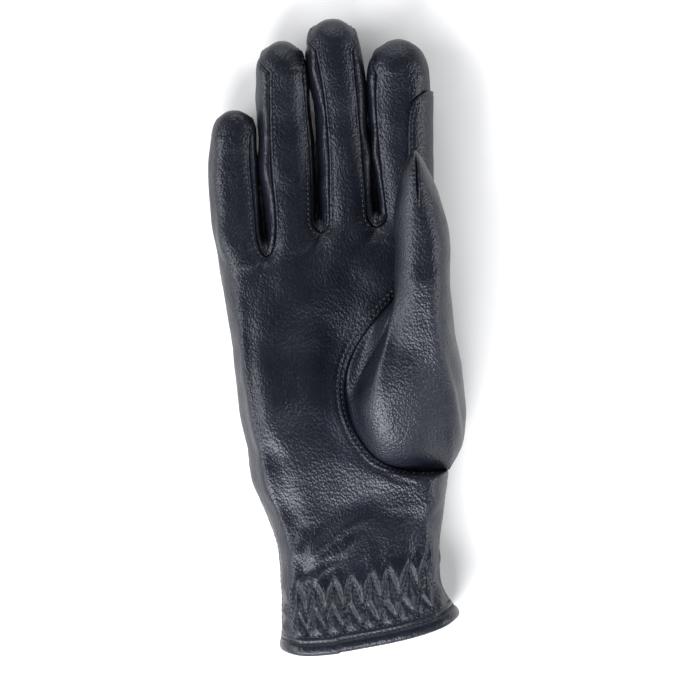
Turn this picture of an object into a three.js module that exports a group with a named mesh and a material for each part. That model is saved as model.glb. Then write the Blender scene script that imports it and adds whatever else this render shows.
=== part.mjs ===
// A right-hand leather riding glove, lying on its back with the palm up.
// The fingers point along +Y, +X is the thumb side and +Z is up, out of the palm. Millimetres.
// The whole outer skin is one welded surface whose faces belong to named leather panels. Each panel
// is then thickened inwards by the leather, with a small gap left to its neighbours at every seam.
import * as THREE from "three";

// Driving sizes
const GLOVE_LENGTH = 240; // from the lowest point of the hem to the tip of the middle finger
const HAND_WIDTH = 82; // across the four fingers at the knuckles
const HAND_DEPTH = 27; // from the back to the palm of the filled hand
const LEATHER = 1.2; // thickness of the glove leather
const SEAM_GAP = 0.3; // clearance between two panels along a seam
const BINDING_HEIGHT = 4.6; // how far the bound hem stands below the leather
const BINDING_THICKNESS = 2.8;
const PATCH_THICKNESS = 1.0; // the reinforcement on the forefinger
const PATCH_CLEARANCE = 0.5;
const GATHER_DEPTH = 0.9; // half the height of a pleat at the elasticated wrist

// Fineness of the mesh
const STRIP_COLUMNS = 6; // across each finger and its share of the palm
const FINGER_ROWS = 8; // from the web to where the fingertip starts to round
const TIP_ROWS = 3;
const FOURCHETTE_COLUMNS = 4;
const PATCH_ROWS = 9;

// Shape of a section: how square the palm side and the back are
const PALM_SQUARENESS = 2.5;
const BACK_SQUARENESS = 2.7;
const ROW_GRADING = 1.6; // rows crowd towards the webs
const WEB_SEAM = 0.8; // where a finger's seams lie at the webs, from 0 on its axis to 1 at its edge

// The hand from hem to knuckles. along and across are shares of GLOVE_LENGTH from the hem's lowest
// point and of HAND_WIDTH from the middle line. top, middle and bottom are shares of HAND_DEPTH. bow is
// how far the row sags towards the wrist, a share of GLOVE_LENGTH. fall is how far the palm drops to its
// right edge: 1 at the side seam, near 0 where that edge is the thumb's seam. web is how much of the
// finger webs' shape the row has already, and gather how deep the pleats are.
const HAND = table(
  "leftAcross leftAlong rightAcross rightAlong bow top middle bottom fall web gather",
  [-0.259, 0.029, 0.528, 0.079, 0.019, 1.0, 0.5, 0.045, 1.0, 0, 0],
  [-0.259, 0.06, 0.487, 0.102, 0.017, 0.97, 0.49, 0.05, 1.0, 0, 0.3],
  [-0.259, 0.089, 0.472, 0.119, 0.014, 0.95, 0.48, 0.04, 1.0, 0, -1],
  [-0.264, 0.116, 0.468, 0.14, 0.012, 0.94, 0.48, 0.05, 1.0, 0, 1],
  [-0.269, 0.143, 0.466, 0.162, 0.011, 0.94, 0.48, 0.05, 1.0, 0, 1],
  [-0.282, 0.175, 0.47, 0.186, 0.012, 0.95, 0.48, 0.04, 1.0, 0, 0.35],
  [-0.329, 0.219, 0.484, 0.219, 0.014, 0.98, 0.48, 0.02, 1.0, 0, 0],
  [-0.38, 0.259, 0.495, 0.25, 0.02, 1.0, 0.48, 0.0, 1.0, 0, 0],
  [-0.407, 0.295, 0.505, 0.289, 0.026, 1.02, 0.48, 0.0, 1.0, 0, 0],
  [-0.417, 0.325, 0.343, 0.287, 0.01, 1.04, 0.47, 0.0, 0.45, 0, 0],
  [-0.431, 0.353, 0.185, 0.306, 0.004, 1.05, 0.46, 0.0, 0.12, 0, 0],
  [-0.444, 0.385, 0.079, 0.352, 0.0, 1.05, 0.46, 0.0, 0.04, 0, 0],
  [-0.463, 0.422, 0.037, 0.405, 0.0, 1.04, 0.45, 0.0, 0.03, 0, 0],
  [-0.481, 0.47, 0.051, 0.457, 0.0, 1.02, 0.45, 0.0, 0.03, 0, 0],
  [-0.5, 0.514, 0.13, 0.508, 0.0, 0.99, 0.45, 0.0, 0.05, 0.1, 0],
  [-0.519, 0.556, 0.255, 0.556, 0.0, 0.95, 0.45, 0.0, 0.1, 0.35, 0],
  [-0.537, 0.587, 0.356, 0.589, 0.0, 0.91, 0.45, 0.0, 0.4, 0.7, 0],
  [-0.551, 0.616, 0.435, 0.616, 0.0, 0.88, 0.45, 0.02, 1.0, 1, 0],
);
const THUMB_FIRST_ROW = 8; // the side seam opens into the thumb's seam at this row
const KNUCKLE_ROW = HAND.length - 1; // and closes again at this one

// Right edge of the back, row by row, where it follows the thumb's seam. level is a share of HAND_DEPTH.
const BACK_THUMB_EDGE = table(
  "across along level",
  [0.565, 0.322, 0.42],
  [0.583, 0.354, 0.38],
  [0.583, 0.39, 0.36],
  [0.569, 0.429, 0.36],
  [0.546, 0.473, 0.38],
  [0.523, 0.516, 0.4],
  [0.495, 0.556, 0.42],
  [0.463, 0.587, 0.44],
);

// Shares of the hand's width at which one finger's strip of the palm ends and the next begins
const STRIP_ENDS_AT_HEM = [0, 0.25, 0.5, 0.75, 1];
const STRIP_ENDS_AT_KNUCKLES = [0, 0.23, 0.484, 0.737, 1];

// The webs between the fingers. round is the height of the seam's U, and crest how far the web's top
// stands above the seam, both shares of GLOVE_LENGTH.
const WEBS = table(
  "across along round crest",
  [-0.324, 0.624, 0.05, 0.034],
  [-0.074, 0.662, 0.022, 0.026],
  [0.176, 0.671, 0.022, 0.026],
);

// The fingers, each with its outline sections from web to tip. centre and half are shares of
// HAND_WIDTH. leftInset and rightInset are how far the seams lie inside the outline, in the same
// share, and null is a side seam. thick scales the finger's depth.
const OUTLINE = "along centre half";
const FINGERS = [
  {
    name: "little",
    tip: 0.856,
    thick: 0.86,
    leftInset: null,
    rightInset: 0.028,
    outline: table(
      OUTLINE,
      [0.635, -0.458, 0.106],
      [0.667, -0.464, 0.113],
      [0.714, -0.475, 0.113],
      [0.77, -0.485, 0.108],
      [0.814, -0.479, 0.102],
    ),
  },
  {
    name: "ring",
    tip: 0.965,
    thick: 0.96,
    leftInset: 0.056,
    rightInset: 0.02,
    outline: table(
      OUTLINE,
      [0.643, -0.22, 0.116],
      [0.698, -0.222, 0.12],
      [0.762, -0.235, 0.126],
      [0.841, -0.247, 0.122],
      [0.914, -0.258, 0.113],
    ),
  },
  {
    name: "middle",
    tip: 1.0,
    thick: 1.0,
    leftInset: 0.052,
    rightInset: 0.036,
    outline: table(
      OUTLINE,
      [0.67, 0.039, 0.127],
      [0.714, 0.036, 0.126],
      [0.794, 0.024, 0.118],
      [0.873, 0.004, 0.119],
      [0.949, -0.026, 0.128],
    ),
  },
  {
    name: "index",
    tip: 0.968,
    thick: 0.98,
    leftInset: 0.034,
    rightInset: null,
    outline: table(
      OUTLINE,
      [0.679, 0.312, 0.116],
      [0.746, 0.298, 0.127],
      [0.81, 0.2865, 0.135],
      [0.873, 0.281, 0.141],
      [0.911, 0.279, 0.136],
    ),
  },
];

// How the fingers taper and curl from web to tip: shares of HAND_DEPTH at shares of a finger's length
const CURL = table(
  "share top bottom",
  [0, 0.88, 0.02],
  [0.3, 0.8, 0.02],
  [0.6, 0.77, 0.05],
  [0.85, 0.79, 0.12],
  [1, 0.8, 0.17],
);

// The thumb from the top of its ball to its tip. tilt turns a ring from lying on the palm, at 0
// degrees, to standing across the thumb, at 90. level is a share of HAND_DEPTH, wide is half the width
// as a share of HAND_WIDTH and deep half the depth as a share of GLOVE_LENGTH.
const THUMB = table(
  "along across level wide deep tilt",
  [0.598, 0.383, 1.44, 0.131, 0.056, 76],
  [0.64, 0.384, 1.46, 0.123, 0.053, 90],
  [0.68, 0.373, 1.47, 0.115, 0.052, 90],
  [0.715, 0.36, 1.5, 0.098, 0.05, 90],
  [0.745, 0.353, 1.52, 0.074, 0.046, 90],
  [0.768, 0.351, 1.54, 0.042, 0.038, 90],
  [0.783, 0.347, 1.56, 0.014, 0.024, 90],
  [0.787, 0.347, 1.57, 0, 0, 90],
);
const THUMB_SQUARENESS = 2.3;
const BALL_ROWS = 5; // between the thumb's seam and the top of its ball
// How the ball of the thumb leaves its seam: how steeply it rises, how far it leans inwards, how far it
// stands out sideways past the back's edge, and how full it is
const BALL = { rise: 2, lean: 1.3, stand: 0.35, swell: 1.05 };

// Soft hollows and swellings of the palm. height is a share of HAND_DEPTH, wide and long are shares of
// HAND_WIDTH and GLOVE_LENGTH, and turn is in degrees.
const RELIEF = table(
  "across along wide long turn height",
  [-0.05, 0.47, 0.2, 0.11, 8, -0.13],
  [-0.3, 0.36, 0.12, 0.1, 12, 0.06],
  [-0.02, 0.19, 0.26, 0.012, -28, 0.07],
  [-0.12, 0.2, 0.26, 0.012, -28, -0.07],
);

// Where the reinforcement lies on the forefinger: shares of its length, and how far it reaches over
// the palm side (near, 1 is the side seam) and round onto the back
const PATCH = table(
  "share near back",
  [0.2, 0.05, 0.8],
  [0.4, 0.06, 0.8],
  [0.6, 0.1, 0.8],
  [0.73, 0.15, 0.8],
  [0.825, 0.2, 0.8],
  [0.9, 0.37, 0.82],
  [0.946, 0.8, 0.9],
);

// Turns named columns and rows of numbers into a list of records
function table(columns, ...rows) {
  const names = columns.split(" ");
  return rows.map((row) => Object.fromEntries(names.map((name, i) => [name, row[i]])));
}

const mix = (a, b, t) => a + (b - a) * t;
const clamp01 = (t) => Math.min(1, Math.max(0, t));
const smooth = (t) => clamp01(t) ** 2 * (3 - 2 * clamp01(t));
const xOf = (across) => across * HAND_WIDTH;
const yOf = (along) => (along - 0.5) * GLOVE_LENGTH;
const zOf = (level) => level * HAND_DEPTH;

// Value of a column of a table at x, on a smooth curve through its rows
function curveAt(rows, key, column, x) {
  let i = 0;
  while (i < rows.length - 2 && rows[i + 1][key] < x) i++;
  const [a, b] = [rows[i], rows[i + 1]];
  const before = rows[i - 1] ?? a;
  const after = rows[i + 2] ?? b;
  const span = b[key] - a[key];
  const t = clamp01((x - a[key]) / span);
  const slopeA = ((b[column] - before[column]) / (b[key] - before[key])) * span;
  const slopeB = ((after[column] - a[column]) / (after[key] - a[key])) * span;
  return (
    (2 * t ** 3 - 3 * t * t + 1) * a[column] +
    (t ** 3 - 2 * t * t + t) * slopeA +
    (3 * t * t - 2 * t ** 3) * b[column] +
    (t ** 3 - t * t) * slopeB
  );
}

// Drop of a squarish section at a distance from its axis, from 0 in the middle to 1 at the edge
const dropAt = (distance, squareness) =>
  1 - Math.max(0, 1 - clamp01(distance) ** squareness) ** (1 / squareness);
const distanceFor = (drop, squareness) => (1 - (1 - drop) ** squareness) ** (1 / squareness);

// Positions across a strip, from -1 at its left seam to 1 at its right one: crowded towards the seams
// on a finger, even at the gathered wrist so that each pleat has its own column
const crowded = (i) => Math.sin((i / STRIP_COLUMNS - 0.5) * Math.PI);
const even = (i) => (2 * i) / STRIP_COLUMNS - 1;

// Height of the soft hollows and swellings at a point of the palm
function reliefAt(x, y) {
  return RELIEF.reduce((sum, bump) => {
    const angle = THREE.MathUtils.degToRad(bump.turn);
    const dx = x - xOf(bump.across);
    const dy = y - yOf(bump.along);
    const u = (dx * Math.cos(angle) - dy * Math.sin(angle)) / xOf(bump.wide);
    const v = (dx * Math.sin(angle) + dy * Math.cos(angle)) / (bump.long * GLOVE_LENGTH);
    return sum + zOf(bump.height) * Math.exp(-u * u - v * v);
  }, 0);
}

// How much the webs lift a row at a share of the hand's width, in mm, on row number r
function webLift(share, row) {
  const ends = STRIP_ENDS_AT_KNUCKLES;
  const knuckles = HAND[KNUCKLE_ROW];
  const lifts = ends.map((end, i) =>
    i === 0 || i === ends.length - 1
      ? 0
      : (WEBS[i - 1].along - mix(knuckles.leftAlong, knuckles.rightAlong, end)) * GLOVE_LENGTH,
  );
  const stops = ends.map((end, i) => ({ end, lift: lifts[i] }));
  return row.web * curveAt(stops, "end", "lift", share);
}

// A point of the hand between hem and knuckles. side is 1 for the palm and -1 for the back, strip is
// the finger it leads to and s runs from -1 to 1 across that strip.
function handPoint(side, rowNumber, strip, s) {
  const row = HAND[rowNumber];
  const up = rowNumber / KNUCKLE_ROW;
  const ends = STRIP_ENDS_AT_HEM.map((end, i) => mix(end, STRIP_ENDS_AT_KNUCKLES[i], up));
  const share = mix(ends[strip], ends[strip + 1], (s + 1) / 2);
  const inThumb = rowNumber > THUMB_FIRST_ROW && rowNumber < KNUCKLE_ROW;
  let right = { across: row.rightAcross, along: row.rightAlong };
  if (side < 0 && inThumb) right = BACK_THUMB_EDGE[rowNumber - THUMB_FIRST_ROW - 1];
  const x = xOf(mix(row.leftAcross, right.across, share));
  const sag = row.bow * GLOVE_LENGTH * (1 - (2 * share - 1) ** 4) * (side > 0 ? 1 : 0.35);
  const y = yOf(mix(row.leftAlong, right.along, share)) - sag + webLift(share, row);

  const squareness = side > 0 ? PALM_SQUARENESS : BACK_SQUARENESS;
  let edge = edgeDistance(strip, s < 0 ? "left" : "right", row.web);
  if (strip === FINGERS.length - 1 && s > 0) {
    if (side > 0) edge = distanceFor(row.fall, squareness);
    else if (inThumb) edge = distanceFor(right.level / row.middle, squareness);
  }
  const drop = dropAt(Math.abs(s) * edge, squareness);
  const surface = side > 0 ? row.top : row.bottom;
  const level = zOf(mix(surface, row.middle, drop));
  const relief = side > 0 ? reliefAt(x, y) * (1 - drop) * (1 - row.web) : 0;
  return new THREE.Vector3(x, y, level + relief);
}

// Distance from a finger's axis at which its panel ends in the hand: 1 at a side seam, less at a web,
// and none in the palm, where the strips run into each other
function edgeDistance(number, side, web) {
  return FINGERS[number][side + "Inset"] === null ? 1 : web * WEB_SEAM;
}

// The seam of a finger on one side at a share of the way from web to tip rounding, with the outline
// beside it, both in plan
function fingerEdge(number, side, t) {
  const finger = FINGERS[number];
  const sign = side === "left" ? -1 : 1;
  const webNumber = side === "left" ? number - 1 : number;
  const web = WEBS[webNumber];
  const cap = finger.outline.at(-1).along;
  const start = web ? web.along : HAND[KNUCKLE_ROW][side + "Along"];
  const along = mix(start, cap, t ** ROW_GRADING);
  const outlineX = (a) =>
    xOf(curveAt(finger.outline, "along", "centre", a)) +
    sign * xOf(curveAt(finger.outline, "along", "half", a));
  const inset = xOf(finger[side + "Inset"] ?? 0);
  const seam = new THREE.Vector2(outlineX(along) - sign * inset, yOf(along));
  const outline = new THREE.Vector2(outlineX(along), yOf(along));
  if (web) {
    const height = (along - web.along) / web.round;
    const open = Math.sqrt(1 - (1 - clamp01(height)) ** 2);
    const crest = web.along + Math.hypot(along - web.along, web.crest);
    const crestSwell = mix(crest, along, smooth(height / 2));
    outline.y = yOf(crestSwell);
    outline.x = mix(xOf(web.across), outlineX(crestSwell), open);
    seam.x = mix(xOf(web.across), seam.x, open);
  } else {
    const blend = smooth(t * 2);
    seam.x = mix(xOf(HAND[KNUCKLE_ROW][side + "Across"]), seam.x, blend);
  }
  return { seam, outline };
}

// Levels of a finger at a share of its length: the top, middle and bottom of its section
function fingerLevels(finger, share) {
  const top = zOf(curveAt(CURL, "share", "top", share));
  const bottom = zOf(curveAt(CURL, "share", "bottom", share));
  const thick = mix(1, finger.thick, smooth(share * 3));
  const row = HAND[KNUCKLE_ROW];
  const middle = mix(zOf(row.middle), (top + bottom) / 2, smooth(share * 2));
  return {
    top: middle + (top - middle) * thick,
    middle,
    bottom: mix(bottom, middle - (middle - bottom) * thick, smooth(share * 3) * 0.5),
  };
}

// A point of a finger's palm side or back. t runs from web to tip rounding, then on from 1 to 2 over
// the fingertip, and s from -1 to 1 between the seams.
function fingerPoint(side, number, t, s) {
  const finger = FINGERS[number];
  const squareness = side > 0 ? PALM_SQUARENESS : BACK_SQUARENESS;
  const capAlong = finger.outline.at(-1).along;
  const round = clamp01(t - 1);
  const shaft = Math.min(t, 1);
  const edgeName = s < 0 ? "left" : "right";
  const inset = (finger[edgeName + "Inset"] ?? 0) / finger.outline.at(-1).half;
  const half = xOf(finger.outline.at(-1).half);
  const centre = xOf(finger.outline.at(-1).centre);
  let x;
  let y;
  let distance;
  if (t <= 1) {
    const left = fingerEdge(number, "left", shaft).seam;
    const right = fingerEdge(number, "right", shaft).seam;
    const share = (s + 1) / 2;
    x = mix(left.x, right.x, share);
    y = mix(left.y, right.y, share);
    const knuckle = handPoint(side, KNUCKLE_ROW, number, s);
    const from = handPoint(side, KNUCKLE_ROW, number, -1);
    const to = handPoint(side, KNUCKLE_ROW, number, 1);
    y += (knuckle.y - mix(from.y, to.y, share)) * (1 - shaft) ** 3;
    const atWeb = edgeDistance(number, edgeName, 1);
    distance = Math.abs(s) * mix(atWeb, 1 - inset, shaft);
  } else {
    const shrink = Math.max(0, 1 - round / 0.8) ** 2;
    const reach = 1 - inset * shrink;
    const capLength = (finger.tip - capAlong) * GLOVE_LENGTH;
    const sideways = reach * s * Math.sqrt(1 - round ** 2 / 2);
    const forwards = round * Math.sqrt(1 - s ** 2 / 2);
    x = centre + half * sideways;
    y = yOf(capAlong) + capLength * forwards;
    distance = Math.hypot(sideways, forwards);
  }
  const web = Math.min(yOf(0.64), y);
  const share = clamp01((y - web) / (yOf(finger.tip) - web));
  const levels = fingerLevels(finger, t === 0 ? 0 : share);
  const drop = dropAt(distance, squareness);
  const z = mix(side > 0 ? levels.top : levels.bottom, levels.middle, drop);
  return new THREE.Vector3(x, y, z);
}

// A welded surface: points shared by position, and faces that each belong to a panel
class Skin {
  constructor() {
    this.points = [];
    this.faces = [];
    this.pleats = [];
    this.byPlace = new Map();
  }

  point(place, pleat = 0) {
    const key = place.toArray().map((v) => Math.round(v * 500)).join();
    if (!this.byPlace.has(key)) {
      this.byPlace.set(key, this.points.length);
      this.points.push(place);
      this.pleats.push(pleat);
    }
    return this.byPlace.get(key);
  }

  quad(panel, a, b, c, d) {
    for (const corners of [[a, b, c], [a, c, d]])
      if (new Set(corners).size === 3) this.faces.push({ panel, corners });
  }

  grid(panel, rows) {
    for (let j = 0; j + 1 < rows.length; j++)
      for (let i = 0; i + 1 < rows[j].length; i++)
        this.quad(panel, rows[j][i], rows[j][i + 1], rows[j + 1][i + 1], rows[j + 1][i]);
  }

  normals() {
    const sums = this.points.map(() => new THREE.Vector3());
    for (const { corners } of this.faces) {
      const [a, b, c] = corners.map((i) => this.points[i]);
      const normal = b.clone().sub(a).cross(c.clone().sub(a));
      for (const i of corners) sums[i].add(normal);
    }
    return sums.map((sum) => sum.normalize());
  }
}

const columns = Array.from({ length: STRIP_COLUMNS + 1 }, (_, i) => i);
const fingerSteps = Array.from({ length: FINGER_ROWS }, (_, j) => (j + 1) / FINGER_ROWS);
const tipSteps = Array.from({ length: TIP_ROWS }, (_, j) => 1 + (j + 1) / TIP_ROWS);
const fourchetteSteps = [0, ...fingerSteps, ...tipSteps.slice(0, -1)];

const skin = new Skin();
const thumbSeam = { palm: [], back: [] };

// The palm or the back: four strips that run from the hem to the fingertips
function addHandPanel(name, side) {
  FINGERS.forEach((finger, strip) => {
    const rows = HAND.map((row, j) => {
      const evenness = 1 - smooth(j / THUMB_FIRST_ROW);
      return columns.map((i) => {
        const s = mix(crowded(i), even(i), evenness);
        const pleat = row.gather * Math.cos(Math.PI * (strip * STRIP_COLUMNS + i));
        return skin.point(handPoint(side, j, strip, s), pleat);
      });
    });
    if (strip === FINGERS.length - 1)
      thumbSeam[name] = rows.slice(THUMB_FIRST_ROW, KNUCKLE_ROW + 1).map((row) => row.at(-1));
    for (const t of [...fingerSteps, ...tipSteps])
      rows.push(columns.map((i) => skin.point(fingerPoint(side, strip, t, crowded(i)))));
    skin.grid(name + "_panel", side > 0 ? rows : rows.map((row) => [...row].reverse()));
  });
}

// One half of a fourchette: the strip up the side of one finger, from the web to a point at the tip
function addFourchetteSide(panel, number, side) {
  const s = side === "left" ? -1 : 1;
  const rows = fourchetteSteps.map((t) => {
    const palm = fingerPoint(1, number, t, s);
    const back = fingerPoint(-1, number, t, s);
    const { outline } = fingerEdge(number, side, Math.min(t, 1));
    if (t > 1) {
      const finger = FINGERS[number];
      const bulge = xOf(finger[side + "Inset"]) * Math.max(0, 1 - (t - 1) / 0.8) ** 2;
      outline.set(palm.x + s * bulge, palm.y);
    }
    return Array.from({ length: FOURCHETTE_COLUMNS + 1 }, (_, k) => {
      const turn = (k / FOURCHETTE_COLUMNS - 0.5) * Math.PI;
      const bulge = Math.cos(turn);
      const place = palm.clone().lerp(back, (Math.sin(turn) + 1) / 2);
      place.x += (outline.x - palm.x) * bulge;
      place.y += (outline.y - palm.y) * bulge;
      if (k === 0) place.copy(palm);
      if (k === FOURCHETTE_COLUMNS) place.copy(back);
      return skin.point(place);
    });
  });
  skin.grid(panel, s > 0 ? rows : rows.map((row) => [...row].reverse()));
}

// Places round one ring of the thumb. half is the number of steps along its palm side.
function thumbRing(ring, count, half) {
  const tilt = THREE.MathUtils.degToRad(ring.tilt);
  const power = 2 / THUMB_SQUARENESS;
  return Array.from({ length: count }, (_, j) => {
    const angle = (j / half) * Math.PI;
    const deep = Math.sign(Math.cos(angle)) * Math.abs(Math.cos(angle)) ** power;
    const wide = Math.sign(Math.sin(angle)) * Math.abs(Math.sin(angle)) ** power;
    const reach = ring.deep * GLOVE_LENGTH * deep;
    return new THREE.Vector3(
      xOf(ring.across) - xOf(ring.wide) * wide,
      yOf(ring.along) - Math.cos(tilt) * reach,
      zOf(ring.level) + Math.sin(tilt) * reach,
    );
  });
}

// The thumb: a ball that swells out of the seam in the hand, then rings up to the tip
function addThumb() {
  const seam = [...thumbSeam.palm, ...thumbSeam.back.slice(1, -1).reverse()];
  const half = thumbSeam.palm.length - 1;
  const own = THUMB.map((ring) => thumbRing(ring, seam.length, half));
  const handNormals = skin.normals();
  const tilt = THREE.MathUtils.degToRad(THUMB[0].tilt);
  const axis = new THREE.Vector3(0, Math.sin(tilt), Math.cos(tilt));
  const rings = [seam];
  for (let row = 1; row <= BALL_ROWS; row++) {
    const t = row / (BALL_ROWS + 1);
    rings.push(
      seam.map((corner, j) => {
        const from = skin.points[corner];
        const to = own[0][j];
        const swell = from.distanceTo(to) * BALL.swell;
        const leave = new THREE.Vector3(xOf(THUMB[0].across) - from.x, yOf(THUMB[0].along) - from.y, 0);
        leave.setLength((BALL.lean * (1 + Math.cos((j / half) * Math.PI))) / 2).setZ(BALL.rise);
        leave.addScaledVector(handNormals[corner], j > half ? BALL.stand : 1);
        leave.setLength(swell * (t ** 3 - 2 * t * t + t));
        const place = from.clone().multiplyScalar(2 * t ** 3 - 3 * t * t + 1);
        place.addScaledVector(to, 3 * t * t - 2 * t ** 3).add(leave);
        return skin.point(place.addScaledVector(axis, swell * (t ** 3 - t * t)));
      }),
    );
  }
  for (const ring of own) rings.push(ring.map((place) => skin.point(place)));
  skin.grid("thumb", rings.map((ring) => [...ring, ring[0]].reverse()));
}

addHandPanel("palm", 1);
addHandPanel("back", -1);
FINGERS.slice(0, -1).forEach((finger, i) => {
  const panel = "fourchette_" + finger.name + "_" + FINGERS[i + 1].name;
  addFourchetteSide(panel, i, "right");
  addFourchetteSide(panel, i + 1, "left");
});
addThumb();

// Pleats of the elasticated wrist stand out of and sink into the skin
const flatNormals = skin.normals();
skin.points.forEach((place, i) =>
  place.addScaledVector(flatNormals[i], skin.pleats[i] * GATHER_DEPTH),
);
const normals = skin.normals();

// A closed solid between an outer and an inner sheet that share their faces
function solidBetween(faces, outer, inner) {
  const used = [...new Set(faces.flat())];
  const slot = new Map(used.map((v, i) => [v, i]));
  const triangles = [];
  const edges = new Map();
  for (const face of faces) {
    const [a, b, c] = face.map((v) => slot.get(v));
    triangles.push([a, b, c], [a + used.length, c + used.length, b + used.length]);
    for (const [from, to] of [[a, b], [b, c], [c, a]]) {
      if (edges.has(to + "," + from)) edges.delete(to + "," + from);
      else edges.set(from + "," + to, [from, to]);
    }
  }
  // Neighbours split their facing rims along the same diagonal, so that the gap between them stays even
  for (const [from, to] of edges.values()) {
    const [low, high] = [from + used.length, to + used.length];
    if (used[from] < used[to]) triangles.push([from, high, to], [from, low, high]);
    else triangles.push([from, low, to], [to, low, high]);
  }
  const places = [...used.map((v) => outer(v)), ...used.map((v) => inner(v))];
  const geometry = new THREE.BufferGeometry();
  geometry.setAttribute("position", new THREE.Float32BufferAttribute(places.flatMap((p) => p.toArray()), 3));
  geometry.setIndex(triangles.flat());
  geometry.computeVertexNormals();
  return geometry;
}

// Thickens one panel of the skin inwards and pulls its edges back from the seams
function panelGeometry(panel) {
  const faces = skin.faces.filter((face) => face.panel === panel).map((face) => face.corners);
  const borders = new Map();
  for (const face of faces)
    for (let k = 0; k < 3; k++) {
      const [from, to] = [face[k], face[(k + 1) % 3]];
      if (borders.has(to + "," + from)) borders.delete(to + "," + from);
      else borders.set(from + "," + to, [from, to]);
    }
  const pull = new Map();
  for (const [from, to] of borders.values()) {
    const along = skin.points[to].clone().sub(skin.points[from]).normalize();
    for (const end of [from, to]) {
      const inwards = normals[end].clone().cross(along).normalize();
      pull.set(end, [...(pull.get(end) ?? []), inwards]);
    }
  }
  const outer = (v) => {
    const place = skin.points[v].clone();
    if (!pull.has(v)) return place;
    const [a, b] = pull.get(v);
    const corner = Math.max(0.4, 1 + a.dot(b));
    return place.addScaledVector(a.clone().add(b), SEAM_GAP / 2 / corner);
  };
  const inner = (v) => outer(v).addScaledVector(normals[v], -LEATHER);
  return solidBetween(faces, outer, inner);
}

// The bound hem: a closed ring that carries on from the lower edge of the palm and the back
function bindingGeometry() {
  const loop = [];
  const ring = (side, strips, s) =>
    strips.forEach((strip) =>
      columns.slice(0, -1).forEach((i) => {
        const at = s > 0 ? even(i) : -even(i);
        const edge = handPoint(side, 0, strip, at);
        const above = handPoint(side, 1, strip, at);
        loop.push({ edge, down: edge.clone().sub(above).normalize() });
      }),
    );
  const order = FINGERS.map((_, i) => i);
  ring(1, order, 1);
  ring(-1, [...order].reverse(), -1);
  const middle = loop.reduce((sum, { edge }) => sum.add(edge), new THREE.Vector3()).divideScalar(loop.length);
  const top = SEAM_GAP;
  const bottom = SEAM_GAP + BINDING_HEIGHT;
  const bevel = 0.9;
  const outside = (BINDING_THICKNESS - LEATHER) / 2;
  const inside = outside - BINDING_THICKNESS;
  const profile = [
    [top, outside - bevel],
    [top + bevel, outside],
    [bottom - bevel, outside],
    [bottom, outside - bevel],
    [bottom, inside + bevel],
    [bottom - bevel, inside],
    [top + bevel, inside],
    [top, inside + bevel],
  ];
  const places = [];
  const count = loop.length;
  loop.forEach(({ edge, down }, i) => {
    const along = loop[(i + 1) % count].edge.clone().sub(loop[(i + count - 1) % count].edge).normalize();
    const out = down.clone().cross(along).normalize();
    if (out.dot(edge.clone().sub(middle)) < 0) out.negate();
    for (const [depth, height] of profile)
      places.push(edge.clone().addScaledVector(down, depth).addScaledVector(out, height));
  });
  const triangles = [];
  const size = profile.length;
  for (let i = 0; i < count; i++)
    for (let k = 0; k < size; k++) {
      const [a, b] = [i * size + k, i * size + ((k + 1) % size)];
      const [c, d] = [((i + 1) % count) * size + k, ((i + 1) % count) * size + ((k + 1) % size)];
      triangles.push([a, b, d], [a, d, c]);
    }
  const geometry = new THREE.BufferGeometry();
  geometry.setAttribute("position", new THREE.Float32BufferAttribute(places.flatMap((p) => p.toArray()), 3));
  geometry.setIndex(triangles.flat());
  geometry.computeVertexNormals();
  return geometry;
}

// The reinforcement on the forefinger, a second layer of leather over the side seam
function patchGeometry() {
  const number = FINGERS.length - 1;
  const sheet = new Skin();
  const first = PATCH[0].share;
  const last = PATCH.at(-1).share;
  const rows = Array.from({ length: PATCH_ROWS + 1 }, (_, j) => {
    const share = mix(last, first, (1 - j / PATCH_ROWS) ** 1.5);
    const near = curveAt(PATCH, "share", "near", share);
    const back = curveAt(PATCH, "share", "back", share);
    const over = [0, 0.3, 0.55, 0.78, 0.93].map((t) => fingerPoint(1, number, share, mix(near, 1, t)));
    const under = [0, 0.35, 0.7, 1].map((t) => fingerPoint(-1, number, share, mix(1, back, t)));
    return [...over, ...under].map((place) => sheet.point(place));
  });
  sheet.grid("patch", rows);
  const out = sheet.normals();
  const lift = (v, height) => sheet.points[v].clone().addScaledVector(out[v], height);
  return solidBetween(
    sheet.faces.map((face) => face.corners),
    (v) => lift(v, PATCH_CLEARANCE + PATCH_THICKNESS),
    (v) => lift(v, PATCH_CLEARANCE),
  );
}

const navyLeather = new THREE.MeshStandardMaterial({ color: 0x1b212c, roughness: 0.42, metalness: 0 });
const navyBinding = new THREE.MeshStandardMaterial({ color: 0x171c26, roughness: 0.5, metalness: 0 });
const navyPatch = new THREE.MeshStandardMaterial({ color: 0x1d222d, roughness: 0.48, metalness: 0 });

const glove = new THREE.Group();
const add = (name, geometry, material) => {
  const mesh = new THREE.Mesh(geometry, material);
  mesh.name = name;
  glove.add(mesh);
};
for (const panel of new Set(skin.faces.map((face) => face.panel)))
  add(panel, panelGeometry(panel), navyLeather);
add("cuff_binding", bindingGeometry(), navyBinding);
add("index_patch", patchGeometry(), navyPatch);

// The origin is the middle of the glove's box, on the surface that it lies on
const box = new THREE.Box3().setFromObject(glove);
const centre = box.getCenter(new THREE.Vector3());
glove.position.set(-centre.x, -centre.y, -box.min.z);

export default glove;
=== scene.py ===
# %% [markdown]
# # A leather riding glove
# The object is a right-hand riding glove of dark navy leather that lies on its back, palm up. It
# is sewn from a palm, a back, strips between the fingers, a set-in thumb and a reinforced
# forefinger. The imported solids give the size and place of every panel. Each panel is remade here
# as a fine sheet of leather with rolled seams, gathers, folds, grain and stitches.

# %% Load the solids
import math

import bpy
import numpy as np
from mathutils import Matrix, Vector, kdtree


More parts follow.
